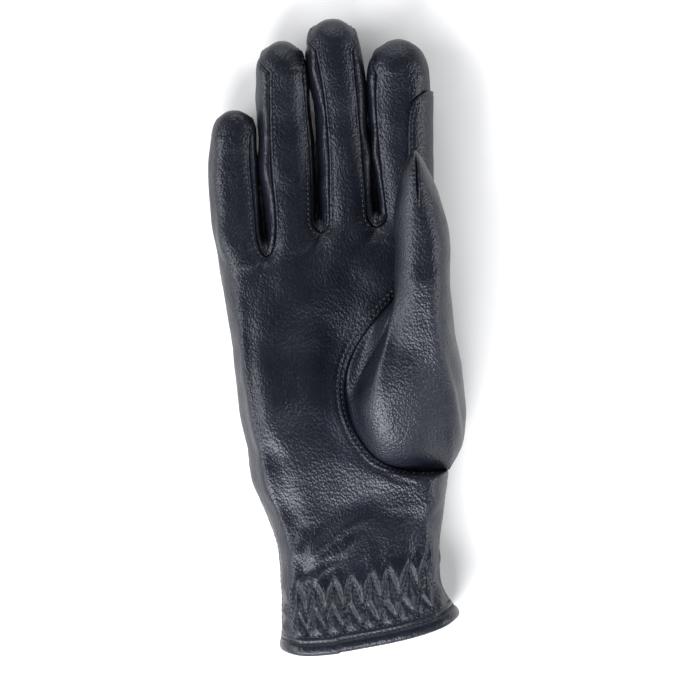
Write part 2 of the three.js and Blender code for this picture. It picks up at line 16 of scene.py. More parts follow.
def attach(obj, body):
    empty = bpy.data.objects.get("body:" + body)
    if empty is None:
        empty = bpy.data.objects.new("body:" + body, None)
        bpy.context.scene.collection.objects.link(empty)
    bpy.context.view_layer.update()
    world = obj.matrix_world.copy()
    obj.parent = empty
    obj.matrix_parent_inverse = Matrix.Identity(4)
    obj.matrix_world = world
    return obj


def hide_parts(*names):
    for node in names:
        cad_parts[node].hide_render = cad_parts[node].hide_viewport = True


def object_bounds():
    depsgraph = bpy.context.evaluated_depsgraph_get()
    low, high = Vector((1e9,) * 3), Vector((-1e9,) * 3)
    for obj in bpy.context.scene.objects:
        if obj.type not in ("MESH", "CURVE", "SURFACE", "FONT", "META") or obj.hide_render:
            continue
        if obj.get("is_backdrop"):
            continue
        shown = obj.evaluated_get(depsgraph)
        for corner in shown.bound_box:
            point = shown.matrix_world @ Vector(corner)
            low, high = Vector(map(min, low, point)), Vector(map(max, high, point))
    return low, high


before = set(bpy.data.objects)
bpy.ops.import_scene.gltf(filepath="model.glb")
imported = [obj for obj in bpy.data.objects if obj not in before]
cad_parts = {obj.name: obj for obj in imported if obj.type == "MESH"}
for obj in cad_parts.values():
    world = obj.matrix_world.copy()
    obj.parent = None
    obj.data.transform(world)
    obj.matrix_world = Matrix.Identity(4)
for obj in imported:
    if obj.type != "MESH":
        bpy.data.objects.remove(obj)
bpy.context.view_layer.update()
print("solids:", sorted(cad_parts))

# %% [markdown]
# ## Camera
# The photograph looks straight down on the palm with a long lens, so the camera hangs high above
# the glove. It comes first, before any piece of the glove.

# %% Camera
CAMERA_PLACE = (0.0049, -0.0053, 1.6)
FRAME_WIDTH = 0.2635  # width of the picture, at the level of the glove's middle
GLOVE_MIDDLE = 0.02
FILM_WIDTH = 36


def add_camera():
    data = bpy.data.cameras.new("camera")
    camera = bpy.data.objects.new("camera", data)
    bpy.context.scene.collection.objects.link(camera)
    data.sensor_width = FILM_WIDTH
    data.lens = FILM_WIDTH * (CAMERA_PLACE[2] - GLOVE_MIDDLE) / FRAME_WIDTH
    camera.location = CAMERA_PLACE
    bpy.context.scene.camera = camera


add_camera()

# %% [markdown]
# ## Sizes and tables
# The same shares that shape the solids shape the sheets: how far along the glove, how far across
# the hand and how high. Everything is in metres here.

# %% Sizes
GLOVE_LENGTH = 0.240
HAND_WIDTH = 0.082
HAND_DEPTH = 0.027
LEATHER = 0.0012
MM = 0.001
ORIGIN = np.array([0.00037, -0.00016, 0.0])  # where the pattern's origin lies in the solids' frame
PALM_SQUARENESS = 2.5
BACK_SQUARENESS = 2.7
BACK_SAG = 0.35  # of the palm's sag between the two sides
ROW_GRADING = 1.6
WEB_SEAM = 0.8


def table(columns, *rows):
    """Named columns of numbers."""
    return dict(zip(columns.split(), np.array(rows, float).T))


def rows_of(columns, first, last):
    """The same table from one row to another."""
    return {name: values[first:last + 1] for name, values in columns.items()}


# %% The hand, from hem to knuckles
HAND = table(
    "leftAcross leftAlong rightAcross rightAlong bow top middle bottom fall web",
    [-0.259, 0.029, 0.528, 0.079, 0.019, 1, 0.5, 0.045, 1, 0],
    [-0.259, 0.06, 0.487, 0.102, 0.017, 0.97, 0.49, 0.05, 1, 0],
    [-0.259, 0.089, 0.472, 0.119, 0.014, 0.95, 0.48, 0.04, 1, 0],
    [-0.264, 0.116, 0.468, 0.14, 0.012, 0.94, 0.48, 0.05, 1, 0],
    [-0.269, 0.143, 0.466, 0.162, 0.011, 0.94, 0.48, 0.05, 1, 0],
    [-0.282, 0.175, 0.47, 0.186, 0.012, 0.95, 0.48, 0.04, 1, 0],
    [-0.329, 0.219, 0.484, 0.219, 0.014, 0.98, 0.48, 0.02, 1, 0],
    [-0.38, 0.259, 0.495, 0.25, 0.02, 1, 0.48, 0, 1, 0],
    [-0.407, 0.295, 0.505, 0.289, 0.026, 1.02, 0.48, 0, 1, 0],
    [-0.417, 0.325, 0.343, 0.287, 0.01, 1.04, 0.47, 0, 0.45, 0],
    [-0.431, 0.353, 0.185, 0.306, 0.004, 1.05, 0.46, 0, 0.12, 0],
    [-0.444, 0.385, 0.079, 0.352, 0, 1.05, 0.46, 0, 0.04, 0],
    [-0.463, 0.422, 0.037, 0.405, 0, 1.04, 0.45, 0, 0.03, 0],
    [-0.481, 0.47, 0.051, 0.457, 0, 1.02, 0.45, 0, 0.03, 0],
    [-0.5, 0.514, 0.13, 0.508, 0, 0.99, 0.45, 0, 0.05, 0.1],
    [-0.519, 0.556, 0.255, 0.556, 0, 0.95, 0.45, 0, 0.1, 0.35],
    [-0.537, 0.587, 0.356, 0.589, 0, 0.91, 0.45, 0, 0.4, 0.7],
    [-0.551, 0.616, 0.435, 0.616, 0, 0.88, 0.45, 0.02, 1, 1],
)
THUMB_FIRST_ROW = 8
KNUCKLE_ROW = 17
BACK_THUMB_EDGE = table(
    "rightAcross rightAlong level",
    [0.505, 0.289, 0.48],
    [0.565, 0.322, 0.42],
    [0.583, 0.354, 0.38],
    [0.583, 0.39, 0.36],
    [0.569, 0.429, 0.36],
    [0.546, 0.473, 0.38],
    [0.523, 0.516, 0.4],
    [0.495, 0.556, 0.42],
    [0.463, 0.587, 0.44],
    [0.435, 0.616, 0.45],
)
ENDS_AT_HEM = np.array([0, 0.25, 0.5, 0.75, 1])
ENDS_AT_KNUCKLES = np.array([0, 0.23, 0.484, 0.737, 1])
WEBS = table(
    "across along round crest",
    [-0.324, 0.624, 0.05, 0.034],
    [-0.074, 0.662, 0.022, 0.026],
    [0.176, 0.671, 0.022, 0.026],
)

# %% The fingers and the thumb
OUTLINE = "along centre half"
FINGERS = [
    dict(name="little", tip=0.856, thick=0.86, left=None, right=0.028, outline=table(
        OUTLINE,
        [0.635, -0.458, 0.106],
        [0.667, -0.464, 0.113],
        [0.714, -0.475, 0.113],
        [0.77, -0.485, 0.108],
        [0.814, -0.479, 0.102],
    )),
    dict(name="ring", tip=0.965, thick=0.96, left=0.056, right=0.02, outline=table(
        OUTLINE,
        [0.643, -0.22, 0.116],
        [0.698, -0.222, 0.12],
        [0.762, -0.235, 0.126],
        [0.841, -0.247, 0.122],
        [0.914, -0.258, 0.113],
    )),
    dict(name="middle", tip=1.0, thick=1.0, left=0.052, right=0.036, outline=table(
        OUTLINE,
        [0.67, 0.039, 0.127],
        [0.714, 0.036, 0.126],
        [0.794, 0.024, 0.118],
        [0.873, 0.004, 0.119],
        [0.949, -0.026, 0.128],
    )),
    dict(name="index", tip=0.968, thick=0.98, left=0.034, right=None, outline=table(
        OUTLINE,
        [0.679, 0.312, 0.116],
        [0.746, 0.298, 0.127],
        [0.81, 0.2865, 0.135],
        [0.873, 0.281, 0.141],
        [0.911, 0.279, 0.136],
    )),
]
CURL_FROM = 0.64  # where the curl of the fingers starts, as a share of the glove's length
CURL = table(
    "share top bottom",
    [0, 0.88, 0.02],
    [0.3, 0.8, 0.02],
    [0.6, 0.77, 0.05],
    [0.85, 0.79, 0.12],
    [1, 0.8, 0.17],
)
THUMB = table(
    "along across level wide deep tilt",
    [0.598, 0.383, 1.44, 0.131, 0.056, 76],
    [0.64, 0.384, 1.46, 0.123, 0.053, 90],
    [0.68, 0.373, 1.47, 0.115, 0.052, 90],
    [0.715, 0.36, 1.5, 0.098, 0.05, 90],
    [0.745, 0.353, 1.52, 0.074, 0.046, 90],
    [0.768, 0.351, 1.54, 0.042, 0.038, 90],
    [0.783, 0.347, 1.56, 0.014, 0.024, 90],
    [0.787, 0.347, 1.57, 0, 0, 90],
)
THUMB_SQUARENESS = 2.0
BALL_RISE = 2
BALL_LEAN = 1.3
BALL_STAND = 0.35
BALL_SWELL = 1.05
PATCH = table(
    "share near back",
    [0.2, 0.05, 0.8],
    [0.4, 0.06, 0.8],
    [0.6, 0.1, 0.8],
    [0.73, 0.15, 0.8],
    [0.825, 0.2, 0.8],
    [0.9, 0.37, 0.82],
    [0.946, 0.8, 0.9],
)

# %% [markdown]
# ## Curves between the rows
# A pattern cutter draws a smooth line through a few marked points. This does the same with numbers:
# a cubic through the rows of a table, with its slope at each row taken from the rows on both sides.
# The helpers for lines and directions that the later cells share are here too.

# %% Smooth curves
def mix(a, b, t):
    return a + (b - a) * t


def smooth(t):
    t = np.clip(t, 0, 1)
    return t * t * (3 - 2 * t)


def between(x, start, end, ease_in=1, ease_out=1):
    """One from start to end and nothing outside, with a soft step at both."""
    return smooth((x - start) / ease_in) * smooth((end - x) / ease_out)


def cubic(a, b, slope_a, slope_b, t):
    """A cubic from a to b that leaves a and meets b with the given slopes."""
    return ((2 * t**3 - 3 * t * t + 1) * a + (t**3 - 2 * t * t + t) * slope_a
            + (3 * t * t - 2 * t**3) * b + (t**3 - t * t) * slope_b)


def curve(keys, values, x):
    """Value at x on a smooth curve through the points (keys, values)."""
    x = np.asarray(x, float)
    i = np.clip(np.searchsorted(keys, x, side="right") - 1, 0, len(keys) - 2)
    before, after = np.maximum(i - 1, 0), np.minimum(i + 2, len(keys) - 1)
    span = keys[i + 1] - keys[i]
    t = np.clip((x - keys[i]) / span, 0, 1)
    slope_a = (values[i + 1] - values[before]) / (keys[i + 1] - keys[before]) * span
    slope_b = (values[after] - values[i]) / (keys[after] - keys[i]) * span
    return cubic(values[i], values[i + 1], slope_a, slope_b, t)


def row_value(columns, name, v):
    """A column of a table at a row number that may lie between two rows."""
    return curve(np.arange(len(columns[name])), columns[name], v)


def drop_at(distance, squareness):
    return 1 - np.maximum(0, 1 - np.clip(distance, 0, 1) ** squareness) ** (1 / squareness)


def distance_for(drop, squareness):
    return (1 - (1 - np.clip(drop, 0, 1)) ** squareness) ** (1 / squareness)


def x_of(across):
    return across * HAND_WIDTH + ORIGIN[0]


def y_of(along):
    return (along - 0.5) * GLOVE_LENGTH + ORIGIN[1]


def z_of(level):
    return level * HAND_DEPTH


def unit(vectors):
    """The same directions, each with a length of one."""
    return vectors / np.maximum(np.linalg.norm(vectors, axis=-1, keepdims=True), 1e-12)


def eased(values, passes, ring=False):
    """Rows averaged with their neighbours, several times. Only in a ring do the end rows move."""
    for _ in range(passes):
        if ring:
            values = (np.roll(values, 1, axis=0) + 2 * values + np.roll(values, -1, axis=0)) / 4
        else:
            inner = (values[:-2] + 2 * values[1:-1] + values[2:]) / 4
            values = np.concatenate([values[:1], inner, values[-1:]])
    return values


def closed(line):
    return np.concatenate([line, line[:1]])


def lengths_along(line):
    """Length of a line from its first point to each of its points."""
    steps = np.linalg.norm(np.diff(line[:, :3], axis=0), axis=1)
    return np.concatenate([[0], np.cumsum(steps)])


def read_at(line, along, at):
    """The line's values at new places along it."""
    return np.stack([np.interp(at, along, values) for values in line.T], axis=-1)


# %% [markdown]
# ## The filled-out hand
# Palm and back are each four strips, one for every finger, that run side by side from the hem and
# part at the webs. A strip is a sheet in two directions: v or t along it and s from seam to seam.

# %% Hand surface
STRIP_COLUMNS = 28
ROWS_PER_STEP = 11
FINGER_ROWS = 110
TIP_ROWS = 18


def by_side(s, left, right):
    return np.where(s < 0, left, right)


def edge_distance(number, web, s):
    """How far out on the hand's section the seam beside s lies: at 1 on the outer sides."""
    return by_side(s, *(np.ones_like(web) if FINGERS[number][edge] is None else web * WEB_SEAM
                        for edge in ("left", "right")))


def right_edge(name, v):
    """Right edge of the hand, which leaves the side seam for the thumb's seam at a corner."""
    lower = row_value(rows_of(HAND, 0, THUMB_FIRST_ROW), name, v)
    upper = row_value(rows_of(HAND, THUMB_FIRST_ROW, KNUCKLE_ROW), name, v - THUMB_FIRST_ROW)
    return np.where(v <= THUMB_FIRST_ROW, lower, upper)


def share_of(strip, v, s):
    """Share of the hand's width, from its outer side, at a place s of a strip."""
    start, end = (mix(ENDS_AT_HEM[i], ENDS_AT_KNUCKLES[i], v / KNUCKLE_ROW)
                  for i in (strip, strip + 1))
    return mix(start, end, (s + 1) / 2)


def hand_point(side, v, strip, s):
    """Place on the palm for side 1 or on the back for side -1, at row v."""
    share = share_of(strip, v, s)
    web = row_value(HAND, "web", v)
    middle = row_value(HAND, "middle", v)
    across, along = right_edge("rightAcross", v), right_edge("rightAlong", v)
    in_thumb = v > THUMB_FIRST_ROW
    if side < 0:
        behind = [row_value(BACK_THUMB_EDGE, name, v - THUMB_FIRST_ROW)
                  for name in ("rightAcross", "rightAlong")]
        across, along = np.where(in_thumb, behind[0], across), np.where(in_thumb, behind[1], along)
    x = x_of(mix(row_value(HAND, "leftAcross", v), across, share))
    sag = row_value(HAND, "bow", v) * GLOVE_LENGTH * (1 - (2 * share - 1) ** 4)
    sag = sag if side > 0 else sag * BACK_SAG
    knuckles = mix(HAND["leftAlong"][-1], HAND["rightAlong"][-1], ENDS_AT_KNUCKLES)
    lifts = np.array([0, *(WEBS["along"] - knuckles[1:-1]), 0]) * GLOVE_LENGTH
    lift = web * curve(ENDS_AT_KNUCKLES, lifts, share)
    y = y_of(mix(row_value(HAND, "leftAlong", v), along, share)) - sag + lift

    squareness = PALM_SQUARENESS if side > 0 else BACK_SQUARENESS
    edge = edge_distance(strip, web, s)
    if strip == 3:
        if side > 0:
            own = distance_for(right_edge("fall", v), squareness)
        else:
            level = row_value(BACK_THUMB_EDGE, "level", v - THUMB_FIRST_ROW)
            own = np.where(in_thumb, distance_for(level / middle, squareness), 1)
        edge = by_side(s, edge, own)
    drop = drop_at(np.abs(s) * edge, squareness)
    surface = row_value(HAND, "top" if side > 0 else "bottom", v)
    z = z_of(mix(surface, middle, drop))
    if side > 0:
        z = z + palm_relief(x, y) * (1 - drop) * (1 - web)
    return np.stack(np.broadcast_arrays(x, y, z), axis=-1)


# Each swelling has its middle, its reach both ways, its turn in degrees and its height
RELIEF = table(
    "across along wide long turn height",
    [-0.05, 0.47, 0.2, 0.11, 8, -0.13],
    [-0.3, 0.36, 0.12, 0.1, 12, 0.06],
    [-0.02, 0.19, 0.26, 0.012, -28, 0.03],
    [-0.12, 0.2, 0.26, 0.012, -28, -0.03],
)


def palm_relief(x, y):
    """Soft hollows and swellings of the palm."""
    total = 0
    for across, along, wide, long, turn, height in zip(*RELIEF.values()):
        a = math.radians(turn)
        dx, dy = x - x_of(across), y - y_of(along)
        u = (dx * math.cos(a) - dy * math.sin(a)) / (wide * HAND_WIDTH)
        v = (dx * math.sin(a) + dy * math.cos(a)) / (long * GLOVE_LENGTH)
        total = total + z_of(height) * np.exp(-u * u - v * v)
    return total


# %% Finger surface
SEAM_EASE = 2  # a finger's own outer seam and middle are reached at 1/2 of its length
THICKNESS_EASE = 3  # and its own thickness at 1/3
UNDERSIDE_SHARE = 0.5  # of the thickness that is taken off below the middle
TIP_INSET_END = 0.8  # of the rounded tip, where the seams on both sides have run together


def outline_x(number, sign, along):
    outline = FINGERS[number]["outline"]
    return x_of(curve(outline["along"], outline["centre"], along)
                + sign * curve(outline["along"], outline["half"], along))


def finger_edge(number, side, t):
    """The seam on one side of a finger and the outline beside it, in plan."""
    sign = -1 if side == "left" else 1
    inset = (FINGERS[number][side] or 0) * HAND_WIDTH
    cap = FINGERS[number]["outline"]["along"][-1]
    web = None if FINGERS[number][side] is None else number - (side == "left")
    start = HAND[side + "Along"][-1] if web is None else WEBS["along"][web]
    along = mix(start, cap, t ** ROW_GRADING)
    seam_x = outline_x(number, sign, along) - sign * inset
    if web is None:
        seam_x = mix(x_of(HAND[side + "Across"][-1]), seam_x, smooth(t * SEAM_EASE))
        return seam_x, y_of(along), seam_x, y_of(along)
    height = (along - start) / WEBS["round"][web]
    opening = np.sqrt(1 - (1 - np.clip(height, 0, 1)) ** 2)
    crest = start + np.hypot(along - start, WEBS["crest"][web])
    crest = mix(crest, along, smooth(height / 2))
    middle = x_of(WEBS["across"][web])
    return (mix(middle, seam_x, opening), y_of(along),
            mix(middle, outline_x(number, sign, crest), opening), y_of(crest))


def finger_levels(finger, share):
    """Levels of a finger's top, middle and underside, at a share of its length."""
    top, bottom = (z_of(curve(CURL["share"], CURL[name], share)) for name in ("top", "bottom"))
    own = smooth(share * THICKNESS_EASE)
    thick = mix(1, finger["thick"], own)
    middle = mix(z_of(HAND["middle"][-1]), (top + bottom) / 2, smooth(share * SEAM_EASE))
    low = mix(bottom, middle - (middle - bottom) * thick, own * UNDERSIDE_SHARE)
    return middle + (top - middle) * thick, middle, low


def inset_left(rounding):
    """What is left of a seam's inset, from 1 where the tip starts to round to 0 near its end."""
    return np.maximum(0, 1 - rounding / TIP_INSET_END) ** 2


def finger_point(side, number, t, s):
    """Place on a finger. t is 0 at the web, 1 where the tip starts to round and 2 at its end."""
    finger = FINGERS[number]
    squareness = PALM_SQUARENESS if side > 0 else BACK_SQUARENESS
    t, s = np.broadcast_arrays(np.asarray(t, float), np.asarray(s, float))
    shaft, rounding = np.minimum(t, 1), np.clip(t - 1, 0, 1)
    half = finger["outline"]["half"][-1]
    inset = by_side(s, (finger["left"] or 0) / half, (finger["right"] or 0) / half)
    lx, ly, _, _ = finger_edge(number, "left", shaft)
    rx, ry, _, _ = finger_edge(number, "right", shaft)
    share = (s + 1) / 2
    knuckle = hand_point(side, np.full_like(s, KNUCKLE_ROW), number, s)[..., 1]
    ends = hand_point(side, np.full(2, KNUCKLE_ROW), number, np.array([-1.0, 1.0]))[..., 1]
    x, y = mix(lx, rx, share), mix(ly, ry, share)
    y = y + (knuckle - mix(ends[0], ends[1], share)) * (1 - shaft) ** 3
    distance = np.abs(s) * mix(edge_distance(number, np.ones_like(s), s), 1 - inset, shaft)

    sideways = (1 - inset * inset_left(rounding)) * s * np.sqrt(1 - rounding**2 / 2)
    forwards = rounding * np.sqrt(1 - s**2 / 2)
    cap = finger["outline"]["along"][-1]
    over = t > 1
    x = np.where(over, x_of(finger["outline"]["centre"][-1]) + half * HAND_WIDTH * sideways, x)
    y = np.where(over, y_of(cap) + (finger["tip"] - cap) * GLOVE_LENGTH * forwards, y)
    distance = np.where(over, np.hypot(sideways, forwards), distance)
    start = np.minimum(y_of(CURL_FROM), y)
    share = np.where(t == 0, 0, np.clip((y - start) / (y_of(finger["tip"]) - start), 0, 1))
    top, middle, bottom = finger_levels(finger, share)
    z = mix(top if side > 0 else bottom, middle, drop_at(distance, squareness))
    return np.stack([x, y, z], axis=-1)


# %% [markdown]
# ## Sheets of leather
# A sheet starts as Blender's grid primitive with enough rows and columns, and its points are
# moved to their places on the hand. That way each sheet keeps tidy quads that follow the finger,
# and a UV map that runs along it.

# %% From a grid to a sheet
SEWING_REACH = 0.02  # edges closer than this are joined, in millimetres


def pick(*pieces):
    """Selects these pieces and nothing else, and makes the first one active."""
    bpy.ops.object.select_all(action="DESELECT")
    for piece in pieces:
        piece.select_set(True)
    if pieces:
        bpy.context.view_layer.objects.active = pieces[0]


def edit_all(operator, **settings):
    """One mesh operator on all of the active piece, in edit mode."""
    bpy.ops.object.mode_set(mode="EDIT")
    bpy.ops.mesh.select_all(action="SELECT")
    operator(**settings)
    bpy.ops.object.mode_set(mode="OBJECT")


def moved_to(name, places):
    """Names the piece that was just added and moves its points to their places."""
    piece = bpy.context.object
    piece.name = piece.data.name = name
    piece.data.vertices.foreach_set("co", places.reshape(-1))
    bpy.ops.object.shade_smooth()
    return piece


def sheet(name, places):
    """A smooth mesh whose grid of points lies at places, rows by columns."""
    pick()
    rows, columns = places.shape[:2]
    bpy.ops.mesh.primitive_grid_add(x_subdivisions=columns - 1, y_subdivisions=rows - 1)
    return moved_to(name, places)


def normals_of(places):
    """Outward normals of a grid of places."""
    return unit(np.cross(np.gradient(places, axis=1), np.gradient(places, axis=0)))


def join(name, pieces):
    """One mesh of several sheets, sewn together where their edges meet."""
    pick(*pieces)
    bpy.ops.object.join()
    joined = bpy.context.object
    joined.name = joined.data.name = name
    edit_all(bpy.ops.mesh.remove_doubles, threshold=SEWING_REACH * MM)
    return joined


def thicken(piece, thickness=LEATHER):
    """Gives a sheet the thickness of the leather, on its inner side."""
    pick(piece)
    wall = piece.modifiers.new("leather", "SOLIDIFY")
    wall.thickness = thickness
    wall.offset = -1
    wall.use_even_offset = False
    bpy.ops.object.modifier_apply(modifier=wall.name)
    bpy.ops.object.shade_smooth()
    print(piece.name, len(piece.data.polygons), "faces")
    return piece


# %% Rows and columns of the hand's sheets
COLUMNS = np.linspace(0, 1, STRIP_COLUMNS + 1)
EVEN = 2 * COLUMNS - 1
CROWDED = np.sin((COLUMNS - 0.5) * math.pi)  # closer together beside the seams
HAND_ROWS = np.linspace(0, KNUCKLE_ROW, KNUCKLE_ROW * ROWS_PER_STEP + 1)
HAND_COLUMNS = mix(CROWDED, EVEN, 1 - smooth(HAND_ROWS[:, None] / THUMB_FIRST_ROW))
LAST_HAND_ROW = len(HAND_ROWS) - 1
BELOW_FINGERS = slice(0, len(HAND_ROWS))
SHAFT_ROWS = np.linspace(0, 1, FINGER_ROWS + 1)[1:]
CAP_ROWS = 1 + np.linspace(0, 1, TIP_ROWS + 1)[1:]
FINGER_STEPS = np.concatenate([SHAFT_ROWS, CAP_ROWS])

# The turn at the knuckles is rounded over some rows, less so at the seams and at the outer sides.
# Below the webs, the folds are rounded over some columns.
KNUCKLE_PASSES, KNUCKLE_ROWS, KNUCKLE_FLAT = 90, 22, 1.6
SEAM_ROWS = 10
OUTER_STRIP_SHARE = 1 / 4
FOLD_PASSES, FOLD_COLUMNS, FOLD_ROWS = 160, 12, 9


def strip_places(side, strip):
    """Places of one strip from the hem to the fingertip, with a sharp turn at the knuckles."""
    rows = np.broadcast_to(HAND_ROWS[:, None], HAND_COLUMNS.shape)
    hand = hand_point(side, rows, strip, HAND_COLUMNS)
    return np.concatenate([hand, finger_point(side, strip, FINGER_STEPS[:, None], CROWDED)])


def soften_between(parts):
    """Rounds the fold that runs down the hand from each web, in the rows below the web."""
    hands = [part[BELOW_FINGERS] for part in parts]
    wide = np.concatenate([hands[0]] + [hand[:, 1:] for hand in hands[1:]], axis=1)
    soft = eased(wide.swapaxes(0, 1), FOLD_PASSES).swapaxes(0, 1)
    column = np.arange(wide.shape[1])
    beside = sum(np.exp(-((column - i * STRIP_COLUMNS) / FOLD_COLUMNS) ** 2) for i in (1, 2, 3))
    below = smooth((LAST_HAND_ROW - np.arange(len(wide))) / FOLD_ROWS)
    wide = mix(wide, soft, (np.minimum(beside, 1) * below[:, None])[..., None])
    for i, hand in enumerate(hands):
        hand[:] = wide[:, i * STRIP_COLUMNS:(i + 1) * STRIP_COLUMNS + 1]


def side_places(side):
    """The four strips of one side, with the turn where each finger leaves the hand rounded."""
    sharp = [strip_places(side, strip) for strip in range(4)]
    soft = [eased(places, KNUCKLE_PASSES) for places in sharp]
    hand = slice(0, LAST_HAND_ROW)
    for left, right in zip(soft, soft[1:]):
        left[hand, -1] = right[hand, 0] = (left[hand, -1] + right[hand, 0]) / 2
    rows = np.arange(len(sharp[0]))[:, None, None]
    near = smooth(KNUCKLE_FLAT - np.abs(rows - LAST_HAND_ROW) / KNUCKLE_ROWS)
    weight = near * mix(1, smooth((LAST_HAND_ROW - rows) / SEAM_ROWS), (EVEN ** 2)[:, None])
    from_side = 0.5 - 0.5 * np.cos(math.pi * np.clip(COLUMNS / OUTER_STRIP_SHARE, 0, 1))[:, None]
    own = [from_side, 1, 1, from_side[::-1]]
    joined = [mix(sharp[i], soft[i], weight * own[i]) for i in range(4)]
    soften_between(joined)
    return joined if side > 0 else [places[:, ::-1] for places in joined]


strips = {(side, i): places for side in (1, -1) for i, places in enumerate(side_places(side))}

# %% [markdown]
# ## Relief of the leather
# Close up, the leather isn't a bare tube. It rolls up on both sides of a seam, puffs out between
# the stitches of the elasticated wrist, and folds where the hand bends. All of these are heights
# in millimetres, added along the sheet's own normal, and all of them fade to nothing at a seam,
# so that two neighbouring sheets still meet there.

# %% Distance to the seams
def seam_line(number, side, edge):
    """Points of one edge of a finger, from the web to the tip."""
    places = strips[side, number]
    column = 0 if (edge == "left") == (side > 0) else -1
    return places[LAST_HAND_ROW:, column]


def tree_of(lines):
    """The points of some lines, kept so that the nearest one is found quickly."""
    points = np.concatenate([np.asarray(line).reshape(-1, 3) for line in lines])
    tree = kdtree.KDTree(len(points))
    for i, point in enumerate(points):
        tree.insert(point, i)
    tree.balance()
    return tree


def fine(line, step=0.0003):
    """The same line with points close together."""
    along = lengths_along(line)
    return read_at(line, along, np.linspace(0, along[-1], max(2, int(along[-1] / step))))


def distance_to(tree, places):
    """Distance in millimetres from each place to the nearest point of the seams."""
    flat = places.reshape(-1, 3)
    found = np.fromiter((tree.find(point)[2] for point in flat), float, len(flat))
    return found.reshape(places.shape[:-1]) / MM


FIRST = THUMB_FIRST_ROW * ROWS_PER_STEP
THUMB_ROWS = slice(FIRST, LAST_HAND_ROW + 1)
right_side = strips[1, 3][:, -1]
to_fourchettes = tree_of([
    fine(seam_line(number, side, edge))
    for side in (1, -1) for number in range(4) for edge in ("left", "right")
    if FINGERS[number][edge] is not None
])
to_sides = tree_of([
    fine(line) for line in (strips[1, 0][:, 0], right_side[:FIRST + 1], right_side[LAST_HAND_ROW:],
                            *(strips[1, number][-1] for number in range(4)))
])
to_thumb = tree_of([fine(right_side[THUMB_ROWS]), fine(strips[-1, 3][THUMB_ROWS, 0])])

# %% Heights beside a seam
# Pairs of distance from the seam and height of the leather, in millimetres
ROLLED = ((0, 0), (0.3, 0.3), (0.75, 0.5), (1.15, 0.36), (1.6, 0.0), (2.1, 0.04), (3.4, 0.02),
          (6, 0.1), (10, 0))
STRIP_EDGE = ((0, 0), (0.35, 0.25), (0.9, 0.32), (1.8, 0.1), (3.5, 0))
PLAIN = ((0, 0), (0.35, 0.26), (0.9, 0.4), (1.8, 0.28), (4, 0.12), (8, 0))
TOPSTITCHED = ((0, 0), (0.3, 0.36), (0.75, 0.5), (1.15, 0.3), (1.5, -0.06), (1.85, 0.26),
               (2.4, 0.44), (2.85, 0.26), (3.2, -0.12), (3.7, 0.2), (5, 0.3), (9, 0))
THUMB_EDGE = ((0, 0), (0.35, 0.16), (0.9, 0.2), (2.5, 0.1), (6, 0))


def height_by(profile, distance):
    return np.interp(distance, *zip(*profile))


# %% Gathers of the wrist
# Two rows of zigzag stitching. Each has its middle line from side to side, its sag, how far its
# points reach, the share of the hand's width between two points and where the first one is.
ZIGZAGS = table(
    "left right sag reach pitch first",
    [0.08, 0.133, 0.009, 0.0254, 0.117, 0.1],
    [0.047, 0.09, 0.008, 0.0143, 0.107, 0.11],
)
WRIST_WIDTH = 0.0605

# In millimetres: the puffs between the stitches, which fade out above and below the zigzags, and
# the pleats that run on up the hand
PUFF, PUFF_EDGE, PUFF_SUNK = 1.6, 1.25, 0.4
PUFFS_UP, PUFFS_DOWN = 8, 3.5
UPPER_SHARE, LOWER_SHARE = 0.5, 0.6  # of a zigzag's reach, where that fading starts
PLEAT, PLEAT_START = 0.16, 5
PLEAT_FLAT, PLEAT_FADE = 4, 20


def zigzag_along(row, share):
    """How far up the glove a zigzag and its middle line are, and how many points it has passed."""
    left, right, sag, reach, pitch, first = (values[row] for values in ZIGZAGS.values())
    turns = (share - first) / pitch
    wave = 1 - 4 * np.abs(turns - np.round(turns))
    middle = mix(left, right, share) - sag * (1 - (2 * share - 1) ** 2)
    return middle + reach * wave, middle, turns


def gathers(places, share):
    """Height of the puffs and pleats that the elastic wrist draws together."""
    along = (places[..., 1] - ORIGIN[1]) / GLOVE_LENGTH + 0.5
    away, middles = [], []
    for row, (reach, pitch) in enumerate(zip(ZIGZAGS["reach"], ZIGZAGS["pitch"])):
        line, middle, _ = zigzag_along(row, share)
        steepness = 4 * reach * GLOVE_LENGTH / (pitch * WRIST_WIDTH)
        away.append(np.abs(along - line) * GLOVE_LENGTH / MM / math.hypot(1, steepness))
        middles.append(middle)
    nearest = np.minimum(*away)
    above = (along - middles[0] - UPPER_SHARE * ZIGZAGS["reach"][0]) * GLOVE_LENGTH / MM
    below = (middles[1] - LOWER_SHARE * ZIGZAGS["reach"][1] - along) * GLOVE_LENGTH / MM
    strength = (1 - smooth(above / PUFFS_UP)) * (1 - smooth(below / PUFFS_DOWN))
    puffs = strength * (PUFF * (1 - np.exp(-(nearest / PUFF_EDGE) ** 2)) - PUFF_SUNK)
    _, _, turns = zigzag_along(0, share)
    pleats = PLEAT * np.cos(2 * math.pi * turns) * smooth(above / PLEAT_START)
    return puffs + pleats * (1 - smooth((above - PLEAT_FLAT) / PLEAT_FADE))


